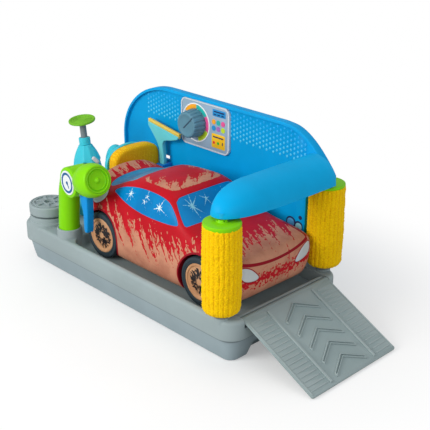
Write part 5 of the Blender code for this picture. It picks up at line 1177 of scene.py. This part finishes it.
def make_gauge():
    low, high = -0.0007, 0.0009
    disc = [(0, low), (0.0186, low, 0.0003), (0.0186, high), (0, high)]
    dress(to_object("gun_gauge", turn(disc, 72, GUN_PLACE @ DRUM)), WHITE, "water_gun", ["gauge_disc"])

    def mark(name, outline, lift):
        made = to_object(name, moved(prism(outline, -0.0003, low - lift), GUN_PLACE @ DRUM))
        dress(made, GAUGE_BLUE, "water_gun")

    for name, start in (("high", 0), ("low", 180)):
        mark("gauge_ring_" + name, ring_outline((0, 0), 0.0122, 0.0158, start, start + 180, 36), 0.0002)
    tilt = Matrix.Rotation(math.radians(-35), 2)
    needle = ((-0.0016, -0.001), (0.0016, -0.001), (0.0006, 0.0095), (-0.0006, 0.0095))
    mark("gauge_needle", [tuple(tilt @ Vector(point)) for point in needle], 0.0003)
    mark("gauge_hub", arc((0, 0), (0.0025, 0.0025), 0, 345, 20), 0.0004)


def make_trigger():
    outline = [(-0.009, 0.005), (-0.009, -0.005)]
    outline += [(across * 0.0125 - 0.0014 * drop, -drop * 0.0605) for across, drop in TRIGGER_SHARES]
    x, z = TRIGGER
    outline = [(x + a, z + b) for a, b in outline + [(0.0125, 0.005)]]
    trigger = to_object("gun_trigger_lever", prism(outline, -0.006, 0.006, 1))
    bevel(trigger, 0.0016, 4, 30)
    trigger.data.transform(GUN_PLACE)
    dress(trigger, TRIGGER_BLUE, "gun_trigger", ["trigger"])


# Corner wheel
def make_corner_wheel():
    low, top, disc_low, post = 0.0793, 0.0978, 0.0815, 0.0913
    relief, height = top - 0.0009, 0.0018
    profile = [(0.0034, low), (0.026, low), (0.026, disc_low), (0.0305, disc_low, 0.0006),
               (0.032, disc_low + 0.0018, 0.001), (0.032, top - 0.0018, 0.001), (0.0302, top, 0.0006),
               (0.0285, top, 0.0003), (0.0278, relief, 0.0004), (0.0068, relief), (0.0068, post),
               (0.0034, post)]
    disc = to_object("corner_disc", turn(profile, 96, at(*WHEEL), 4))

    def raised(outline):
        outer = [(WHEEL[0] + a, WHEEL[1] + b) for a, b in outline]
        fuse(disc, layers(outer, ((0, relief - 0.0005), (0, relief + height - 0.0004),
                                  (0.0004, relief + height))))

    for start in (0, 90, 180, 270):
        for inner, outer, steps in ((0.0232, 0.0262, 16), (0.0078, 0.0104, 10)):
            raised(ring_outline((0, 0), inner, outer, start, start + 89.6, steps))
    for index in range(7):
        angle = math.radians(360 * index / 7 + 12)
        along = Vector((math.cos(angle), math.sin(angle)))
        across = along.orthogonal()
        raised([tuple(along * far + across * wide) for far, wide in (
            (0.0098, -0.0011), (0.0236, -0.0024), (0.0236, 0.0024), (0.0098, 0.0011))])
    dress(disc, GREY, "spinner", ["corner_wheel"], 30)


# Car, as stations from the tail to the nose: place, then heights and half widths as shares of the whole
CAR_SHARES = (
    (0, 0.28, 0.55, 0.45, 0.7, 0.72, 0.62, 0.9, 0.45, 0.95),
    (0.02, 0.16, 0.7, 0.42, 0.88, 0.72, 0.76, 0.92, 0.55, 0.96),
    (0.06, 0.1, 0.82, 0.37, 0.96, 0.73, 0.82, 0.86, 0.6, 0.89),
    (0.12, 0.07, 0.88, 0.35, 0.99, 0.73, 0.85, 0.82, 0.68, 0.85),
    (0.22, 0.06, 0.91, 0.33, 1, 0.72, 0.85, 0.98, 0.72, 0.98),
    (0.31, 0.06, 0.92, 0.33, 1, 0.72, 0.84, 1.03, 0.72, 1.05),
    (0.43, 0.06, 0.92, 0.33, 1, 0.72, 0.83, 1.05, 0.72, 1.07),
    (0.555, 0.06, 0.92, 0.32, 1, 0.72, 0.82, 1.06, 0.74, 1.08),
    (0.65, 0.06, 0.91, 0.31, 1, 0.7, 0.86, 0.78, 0.76, 0.8),
    (0.78, 0.07, 0.9, 0.31, 1, 0.66, 0.9, 0.7, 0.68, 0.715),
    (0.9, 0.1, 0.85, 0.32, 0.98, 0.64, 0.92, 0.665, 0.7, 0.675),
    (0.96, 0.15, 0.78, 0.34, 0.91, 0.62, 0.885, 0.64, 0.7, 0.65),
    (0.985, 0.2, 0.71, 0.36, 0.86, 0.6, 0.855, 0.615, 0.68, 0.62),
    (1, 0.28, 0.57, 0.38, 0.75, 0.5, 0.73, 0.54, 0.5, 0.545))
CAR_NOSE, CAR_LENGTH, CAR_HALF, CAR_HEIGHT = FRONT - 0.023, 0.327, 0.0875, 0.132
TYRE_RADIUS, AXLE_Z = 0.036, 0.0843
AXLES = (("front", FRONT - 0.092), ("rear", FRONT - 0.3065))
OUTSIDE = -20


def mirrored(half):
    """A closed outline from its half on the side of negative Y."""
    return half + tuple((x, -y) for x, y in reversed(half) if y)


# Outlines painted on the car, in millimetres from the nose end of the playset
SIDE_WINDOW = ((-293, 156.5), (-281, 164.4), (-261, 170.7), (-240, 174.3), (-217.5, 175.7), (-195, 175.7),
               (-178, 173.5), (-168, 169.3), (-157.4, 161), (-148.5, 152.5), (-144.5, 147.2),
               (-153.5, 145.2), (-173.4, 143.4), (-198, 142.4), (-223.6, 143.3), (-246.8, 146.5),
               (-265.5, 151), (-280.2, 155.2))
WINDSHIELD = mirrored(((-164, -15), (-165, -34), (-167.6, -54.2), (-156, -60), (-144.6, -64.4),
                       (-133.8, -67.6), (-129.7, -59.5), (-127, -40), (-126, -21), (-125.7, 0)))
REAR_GLASS = mirrored(((-324.5, -15), (-323, -34), (-319.5, -47), (-313, -55.5), (-300, -54.5), (-285, -51.5),
                       (-262, -49.5), (-259.5, -30), (-258.6, 0)))
ROOF_PANEL = mirrored(((-251.5, -20), (-248, -46.5), (-213.6, -48.8), (-184, -49), (-176.6, -41.5),
                       (-173.6, -16)))
LAMP = ((68, 122.5), (59, 121), (50, 116.5), (41.5, 108.5), (35.5, 101.2), (41, 98.2), (54, 99.5),
        (64.5, 103.8), (69, 112))
BORDER = ((-345, 118), (-326, 121.4), (-307, 122.5), (-274, 119.5), (-246, 116), (-216, 112.5), (-190, 110),
          (-168, 109.5), (-147, 110), (-120, 118), (-93, 126), (-60, 128), (-24, 124))

# Splashes of frost: centre, size, arms and seed
SIDE_STARS = (((-252, 163.5), 11, 8, 3), ((-217.6, 167.5), 7.5, 6, 5), ((-220.5, 160.5), 8.5, 5, 9),
              ((-187.5, 161), 15, 8, 8))
FRONT_STARS = (((-150.5, -38.5), 16, 9, 4), ((-153, -10), 13, 5, 6), ((-148, 26), 14, 8, 12))


def soften(outline, rounds=1):
    """Cut the corners of an outline to round it."""
    for _ in range(rounds):
        outline = [(before[0] + (here[0] - before[0]) * share, before[1] + (here[1] - before[1]) * share)
                   for before, here in zip(outline[-1:] + outline[:-1], outline) for share in (0.25, 0.75)]
    return outline


def inside_by(first, second, outline):
    """How far points lie inside an outline; negative outside."""
    points = numpy.stack((first, second), 1)
    best, inside = numpy.full(len(points), 1e9), numpy.zeros(len(points), bool)
    for index, here in enumerate(outline):
        a, b = numpy.array(outline[index - 1]), numpy.array(here)
        along = b - a
        share = numpy.clip(((points - a) @ along) / (along @ along), 0, 1)
        best = numpy.minimum(best, numpy.linalg.norm(points - a - share[:, None] * along, axis=1))
        if a[1] != b[1]:
            crosses = (a[1] > second) != (b[1] > second)
            inside ^= crosses & (first < a[0] + (second - a[1]) / (b[1] - a[1]) * along[0])
    return numpy.where(inside, best, -best)


def star(n, first, second, size, arms, seed):
    """One splash of frost: tapering arms of uneven length, as a shader value above zero inside."""
    radius = n.length(first, second)
    sector = n.math("ARCTAN2", second, first) * (arms / (2 * math.pi)) + seed * 0.37
    whole = n.math("FLOOR", sector)
    wide = (sector - whole - 0.5) * (2 * math.pi / arms)
    across = n.math("ABSOLUTE", radius * n.math("SINE", wide))
    chance = n.add("TexWhiteNoise", {"W": whole + seed * 3.1}, noise_dimensions="1D")
    return (1.0 - radius / ((chance * 0.75 + 0.4) * size)) * (0.08 * size) - across


def frost_field(n):
    """Frost on the side windows and on the windshield, above zero inside."""
    x, y, z = [value * 1000.0 for value in n.split(n.coords)]
    front = n.attribute("front")
    fields = []
    for stars, second, off in ((SIDE_STARS, z, front), (FRONT_STARS, y, 1.0 - front)):
        best = None
        for (cx, cy), size, arms, seed in stars:
            field = star(n, x - (FRONT * 1000 + cx), second - cy, size, arms, seed)
            best = n.math("MAXIMUM", best, field) if best else field
        fields.append(best + off * -50.0)
    return n.math("MAXIMUM", *fields)


def mesh_arrays(mesh):
    points = numpy.empty(len(mesh.vertices) * 3, numpy.float32)
    normals = points.copy()
    mesh.vertices.foreach_get("co", points)
    mesh.vertex_normals.foreach_get("vector", normals)
    return points.reshape(-1, 3).astype(float), normals.reshape(-1, 3)


def car_fields(mesh):
    """The painted areas of the car as distances in millimetres at each vertex."""
    points, normals = mesh_arrays(mesh)
    x, y, z = (points[:, 0] - FRONT) * 1000, points[:, 1] * 1000, points[:, 2] * 1000
    reach, ahead = numpy.abs(y), normals[:, 0]
    where, most = numpy.where, numpy.maximum

    def line(distance, half_width):
        return half_width - numpy.abs(distance)

    def painted(mask, first, second, outline, rounds=1):
        return where(mask, inside_by(first, second, soften(outline, rounds)), OUTSIDE)

    side_glass = painted((reach > 50) & (z > 135), x, z, SIDE_WINDOW, 2)
    front_glass = painted((x > -176) & (x < -120) & (z > 140), x, y, WINDSHIELD)
    rear_glass = painted((x < -250) & (z > 148), x, y, REAR_GLASS)
    lamp = painted((x > -40) & (ahead > 0.3), reach, z, LAMP, 2)
    cosine, sine = math.cos(math.radians(29.5)), math.sin(math.radians(29.5))
    far, up, tail_half, tail_thin = x + 321, z - 141.5, 19, 8.5
    oval = numpy.hypot((far * cosine + up * sine) / tail_half, (up * cosine - far * sine) / tail_thin)
    lamp = most(lamp, where((reach > 55) & (x < -290), tail_thin * (1 - oval), OUTSIDE))
    top = normals[:, 2] > 0.72
    front, back = (ahead > 0.62) & (x > -60), (ahead < -0.62) & (x < -320)
    roof = top & (x > -255) & (x < -168) & (z > 165)
    hood = top & (x > -128) & (reach < 66) & (z < 160)
    trunk = top & (x < -300) & (z > 145)
    legs = most(numpy.interp(x, [-250, -176], [2.0, 14.0]) - (y + 48.8), 12.5 - (-173.6 - x))
    legs = most(legs, 3.0 - (48.8 - y))
    border = numpy.interp(x, *zip(*BORDER))
    regions = [front, back, roof, hood, trunk]
    dirt = numpy.select(regions, [30 + 0 * x, 112 - z, 1.8 * (legs + 4), x + 58 + 0.12 * y,
                                  -1.6 * (x + 334)], border - z)
    across = numpy.select(regions, [y, y, 0.707 * (x + y), 0.41 * x + 0.91 * y, y], 0.809 * x + 0.588 * z)
    along = numpy.select(regions, [z, z, 0.707 * (x - y), 0.91 * x - 0.41 * y, x], 0.588 * x - 0.809 * z)
    fence = numpy.select([roof, hood, trunk], [inside_by(x, y, soften(ROOF_PANEL)), 64 - reach, 50 + 0 * x],
                         where((z > 146) & (x < -120), -6, 50))
    splash = where(front, line(z - 97 - 0.03 * reach, 7.5), -50)
    nose_line = line(z - 117.5 - 8.4 * (reach / 63.4) ** 2, 2.2)
    trim = where((x > -45) & (ahead > 0.25) & (reach < 65.5), nose_line, -9)
    trim = most(trim, where(top & (x > -74) & (x < -25), line(reach - 65, 2.0), -9))
    for _, centre in AXLES:
        radius = numpy.hypot(points[:, 0] - centre, points[:, 2] - AXLE_Z) * 1000
        trim = most(trim, where(reach > 66, line(radius - 40.4, 1.6), -9))
        trim = most(trim, where((reach > 55) & (radius < 40), 5, -9))
    return dict(glass=most(most(side_glass, front_glass), rear_glass), rear=rear_glass > -4,
                front=front_glass > -4, lamp=lamp, dirt=dirt, across=across, along=along, fence=fence,
                splash=splash, trim=trim)


def car_material():
    n = Paint("car_paint")
    across, along = n.attribute("across"), n.attribute("along")
    cloud = n.noise(22.0, 4.0, 0.6)
    cells = n.vector(across * 0.3, along * 0.13)
    tufts = n.noise(1.0, 1.5, 0.5, n.vector(across * 0.3, along * 0.09)) - 0.5
    tongues = (0.27 - n.cells(across, 0.085)) * 46.0 + (0.27 - n.cells(across, 0.26)) * 17.0
    level = n.attribute("dirt") + (tongues + tufts * 42.0)
    edge = n.ramp(level, -0.35, 0.35)
    beyond = n.math("LESS_THAN", n.voronoi(1.0, cells), n.ramp(level, -24.0, -0.5, 0.0, 0.5))
    within = n.math("LESS_THAN", n.voronoi(1.31, cells), n.ramp(level, 20.0, 0.5, 0.0, 0.46))
    dirt = n.math("MAXIMUM", edge, beyond) * (1.0 - within * edge)
    dirt = dirt * n.ramp(n.attribute("fence") + tufts * 3.0, -0.2, 0.3)
    stroke = n.noise(1.0, 3.0, 0.65, n.vector(across * 0.2, along * 0.2))
    dirt = dirt * (1.0 - n.ramp(n.attribute("splash") + (stroke - 0.52) * 62.0, -0.4, 0.4))
    sand = n.blotch(n.noise(40.0, 5.0, 0.65), 0.35, 0.7, (202, 142, 114), (182, 120, 96))
    base = n.mix(dirt, n.blotch(cloud, 0.3, 0.7, (180, 8, 26), (194, 12, 32)), sand)
    base = n.mix(n.ramp(n.attribute("trim"), -0.15, 0.25), base, srgb(146, 8, 30))
    window = n.mix(n.attribute("rear"), n.blotch(cloud, 0.35, 0.65, (0, 120, 184), (0, 132, 198)),
                   n.blotch(cloud, 0.35, 0.65, (24, 124, 172), (66, 150, 190)))
    frost = n.ramp(frost_field(n) + (n.noise(430.0, 3.0, 0.7) - 0.52) * 3.4, -0.1, 0.2)
    window = n.mix(frost, window, n.mix(n.attribute("front"), srgb(218, 236, 240), srgb(140, 204, 222)))
    glass, lamp = n.ramp(n.attribute("glass"), -0.15, 0.25), n.attribute("lamp")
    base = n.mix(n.ramp(lamp, -1.7, -1.3), n.mix(glass, base, window), srgb(150, 12, 34))
    base = n.mix(n.ramp(lamp, -0.2, 0.2), base, n.blotch(cloud, 0.3, 0.7, (186, 194, 196), (208, 214, 216)))
    film = n.bump(n.math("MAXIMUM", dirt, frost), 0.3, 0.0002)
    return n.set(Base_Color=base, Roughness=n.noise(60.0, 4.0, 0.6) * 0.14 + dirt * 0.1 + 0.36 - glass * 0.12,
                 Normal=n.bump(n.noise(1100.0, 2.0, 0.6), 0.12, 0.0002, film), Specular_IOR_Level=0.15)


def make_car_body():
    rings = []
    for place, low, low_wide, middle, wide, belt, belt_wide, roof, roof_wide, top in CAR_SHARES:
        half = [(0.75 * low_wide, low), (low_wide, low), (wide, middle), (belt_wide, belt), (roof_wide, roof)]
        points = half + [(0, top)] + [(-y, z) for y, z in reversed(half)]
        x = CAR_NOSE - CAR_LENGTH * (1 - place)
        rings.append([(x, CAR_HALF * y, FLOOR + CAR_HEIGHT * z) for y, z in points])
    body = to_object("car_shell", stack(rings))
    level = 5
    modify(body, "SUBSURF", levels=level, render_levels=level)
    fields = car_fields(body.data)
    points, normals = mesh_arrays(body.data)
    push = -0.0007 * numpy.clip(fields["glass"] / 1.6 + 0.3, 0, 1)
    push += 0.0006 * numpy.clip(fields["lamp"] / 1.6 + 0.2, 0, 1)
    push += 0.0004 * numpy.clip(fields["trim"] / 1.2 + 0.5, 0, 1)
    body.data.vertices.foreach_set("co", (points + normals * push[:, None]).astype(numpy.float32).ravel())
    body.data.update()
    cutters, radius = [], TYRE_RADIUS + 0.0032
    for _, x in AXLES:
        for low, high in ((0.0605, 0.1), (-0.1, -0.0605)):
            cutters.append(turn([(0, low), (radius, low), (radius, high), (0, high)], 96,
                                along_y(x, 0, AXLE_Z)))
    rear, front, half = CAR_NOSE - CAR_LENGTH + 0.0248, CAR_NOSE - 0.0248, 0.0482
    cutters.append(box((rear, -half, FLOOR - 0.01), (front, half, FLOOR + 0.066)))
    cut(body, join_shapes(cutters))
    for name, values in car_fields(body.data).items():
        layer = body.data.attributes.new(name, "FLOAT", "POINT")
        layer.data.foreach_set("value", values.astype(numpy.float32))
    dress(body, car_material(), "car", ["car_body"], 40)


# Wheels of the car
TYRE_STEPS = 240


def hub_material():
    """Sand with black rays, drawn from each vertex's place in its own wheel."""
    n = Paint("hub_sand")
    local = n.add("Attribute", out=1, attribute_name="local")
    x, _, z = n.split(local)
    radius = n.length(x, z) * 1000.0
    rays = n.noise(1.0, 2.0, 0.6, n.vector(x * 5600.0 / radius, z * 5600.0 / radius, radius * 0.17))
    blots = n.noise(420.0, 3.0, 0.6, local)
    band = n.ramp(radius, 3.5, 6.5) * n.ramp(radius, 22.5, 14.0)
    black = n.ramp(rays + (blots - 0.5) * 0.5 + band * 0.25, 0.61, 0.65) * n.ramp(band, 0.02, 0.2)
    sand = n.blotch(n.noise(60.0, 4.0, 0.6), 0.3, 0.7, (206, 158, 118), (190, 138, 98))
    return n.set(Base_Color=n.mix(black, sand, srgb(26, 24, 28)), Roughness=black * -0.1 + 0.5,
                 Normal=n.bump(black + blots * 0.3, 0.25, 0.0003), Specular_IOR_Level=0.3)


def tread(mesh, x):
    """Notch the tyre's edge rings, every fifth step round."""
    for vert in mesh.vertices:
        radial = Vector((vert.co.x - x, vert.co.z - AXLE_Z))
        step = int(round(math.atan2(radial.y, radial.x) / (2 * math.pi) * TYRE_STEPS)) % 5
        if radial.length > 0.0352 and step == (0 if abs(vert.co.y) < 0.0725 else 2):
            radial *= 1 - 0.0006 / radial.length
            vert.co.x, vert.co.z = x + radial.x, AXLE_Z + radial.y


def make_wheels():
    sand = hub_material()
    outer, inner, rim = 0.0825, 0.0625, 0.0273
    tyre = [(rim, inner), (0.0348, inner, 0.001), (TYRE_RADIUS, inner + 0.002, 0.001)]
    for groove in (inner + 0.0071, inner + 0.0131):
        tyre += [(TYRE_RADIUS, groove - 0.0006), (TYRE_RADIUS - 0.0005, groove),
                 (TYRE_RADIUS, groove + 0.0006)]
    tyre += [(TYRE_RADIUS, outer - 0.003, 0.002), (0.0345, outer - 0.0004, 0.001), (0.0325, outer, 0.0006),
             (0.0308, outer - 0.0001), (0.0304, outer - 0.0007), (0.03, outer - 0.0001),
             (0.0285, outer, 0.0006), (rim, outer - 0.0008)]
    face = outer - 0.0022
    hub = [(0, 0.0743), (0.0033, 0.0743), (0.0033, face - 0.0155), (0.027, face - 0.0155),
           (0.027, outer - 0.0012, 0.0005), (0.0262, outer - 0.0006, 0.0004),
           (0.0238, outer - 0.0006, 0.0006), (0.0226, face - 0.0004, 0.0008), (0.012, face + 0.0002, 0.002),
           (0.0065, face + 0.0009, 0.0006), (0.0055, face + 0.0014, 0.0006), (0, face + 0.0016)]
    for end, x in AXLES:
        for label, side in ENDS:
            place = at(x, 0, AXLE_Z) @ Matrix.Diagonal((1, -side, 1, 1)) @ spin(90, "X")
            name = "%s_%s" % (end, label)
            piece = to_object("tyre_ring_" + name, turn(tyre, TYRE_STEPS, place, 4))
            tread(piece.data, x)
            dress(piece, TYRE_BLACK, end + "_wheels", ["tyre_" + name], 30)
            piece = to_object("hub_face_" + name, turn(hub, 96, place, 4))
            local = mesh_arrays(piece.data)[0] - numpy.array((x, 0, AXLE_Z))
            layer = piece.data.attributes.new("local", "FLOAT_VECTOR", "POINT")
            layer.data.foreach_set("vector", local.astype(numpy.float32).ravel())
            dress(piece, sand, end + "_wheels", ["hub_" + name], 40)


# Pieces of the CAD that are kept as they are, by how their names begin
CARRIED = ((STEEL, ("base_screw", "wall_screw", "arch_screw", "ramp_pin", "trigger_pin", "axle")),
           (CORE_GREY, ("roller_core",)), (DECK_GREY, ("roller_spindle", "corner_wheel_post")),
           (KNOB_GREY, ("knob_retainer",)), (BLACK, ("car_chassis",)))


def dress_carried():
    for material, names in CARRIED:
        for carried in bpy.data.objects:
            if carried.type == "MESH" and carried.name.startswith(names):
                if not carried.material_slots:
                    carried.data.materials.append(material)
                for slot in carried.material_slots:
                    slot.material = material


# Camera, fitted to the photograph
def make_camera():
    yaw, pitch, roll = math.radians(-45.74), math.radians(22.93), math.radians(0.29)
    photo_width, focal_pixels, sensor = 430, 907.4, 36
    forward = Vector((math.sin(yaw) * math.cos(pitch), math.cos(yaw) * math.cos(pitch), -math.sin(pitch)))
    level = forward.cross(Vector((0, 0, 1))).normalized()
    above = level.cross(forward)
    right = level * math.cos(roll) + above * math.sin(roll)
    up = above * math.cos(roll) - level * math.sin(roll)
    data = bpy.data.cameras.new("view")
    data.lens = focal_pixels / photo_width * sensor
    data.sensor_width = sensor
    data.clip_start = 0.01
    camera = bpy.data.objects.new("view", data)
    eye = at(FRONT + 0.7081, -0.8314, 0.6474)
    camera.matrix_world = eye @ Matrix((right, up, -forward)).transposed().to_4x4()
    bpy.context.scene.collection.objects.link(camera)
    bpy.context.scene.camera = camera
    bpy.context.scene.view_settings.view_transform = "Standard"


# Floor, backdrop and lamps: name, place, size, power and colour
WORLD_LIGHT = 0.52
LAMPS = (("key", (-0.35, -1.75, 1.0), 1.1, 25.0, (1.0, 0.99, 0.97)),
         ("fill", (1.8, -0.5, 0.9), 1.4, 6.5, (0.96, 0.98, 1.0)),
         ("top", (0.0, 0.25, 2.0), 1.6, 4.0, (1, 1, 1)))


def make_floor():
    """A floor that fades into the white backdrop for the camera."""
    n = Paint("studio_floor")
    seen = n.add("LightPath", out="Is Camera Ray")
    far = n.add("VectorMath", {0: n.coords}, out=1, operation="LENGTH")
    cloud = n.ramp(n.noise(3.0, 3.0, 0.5), 0.3, 0.7, 0.58, 0.6)
    bounce = n.add("CombineColor", {0: cloud, 1: cloud, 2: cloud})
    n.set(Base_Color=n.mix(seen, bounce, (1.0, 1.0, 1.0, 1)), Roughness=0.9, Specular_IOR_Level=0.0)
    both = n.add("MixShader", {0: seen * n.ramp(far, 0.2, 0.5, 0.3, 1.0), 1: Value(n, n.shader.outputs[0]),
                               2: n.add("Emission")})
    n.put(n.tree.nodes["Material Output"].inputs[0], both)
    floor = to_object("studio_floor", box((-6, -6, -0.02), (6, 6, -0.0002)))
    floor.data.materials.append(n.material)


def make_world():
    """White to the camera, soft light to everything else."""
    world = bpy.data.worlds.new("studio")
    bpy.context.scene.world = world
    n = Nodes(world)
    n.tree.nodes.clear()
    output = n.tree.nodes.new("ShaderNodeOutputWorld")
    white = n.add("Background", {"Color": (1, 1, 1, 1), "Strength": 1.0})
    soft = n.add("Background", {"Color": (0.97, 0.985, 1, 1), "Strength": WORLD_LIGHT})
    seen, through = n.add("LightPath", out="Is Camera Ray"), n.add("LightPath", out="Is Transmission Ray")
    n.put(output.inputs[0], n.add("MixShader", {0: n.math("MAXIMUM", seen, through), 1: soft, 2: white}))


def make_lamps():
    aim = Vector((0, 0, 0.1))
    for name, place, size, power, colour in LAMPS:
        data = bpy.data.lights.new(name, "AREA")
        data.shape = "DISK"
        data.size = size
        data.energy = power
        data.color = colour
        lamp = bpy.data.objects.new(name, data)
        lamp.location = place
        lamp.rotation_euler = (aim - Vector(place)).to_track_quat("-Z", "Y").to_euler()
        bpy.context.scene.collection.objects.link(lamp)


for step in (make_deck, make_skirt, make_ramp, make_wall, make_dots, make_bubbles, make_arch, make_rollers,
             make_panel, print_screen, print_buttons, print_gauge, make_dial, make_squeegee, make_brush,
             make_bottle, make_pump, make_gun, make_gauge, make_trigger, make_corner_wheel, make_car_body,
             make_wheels, dress_carried, make_camera, make_floor, make_world, make_lamps):
    step()
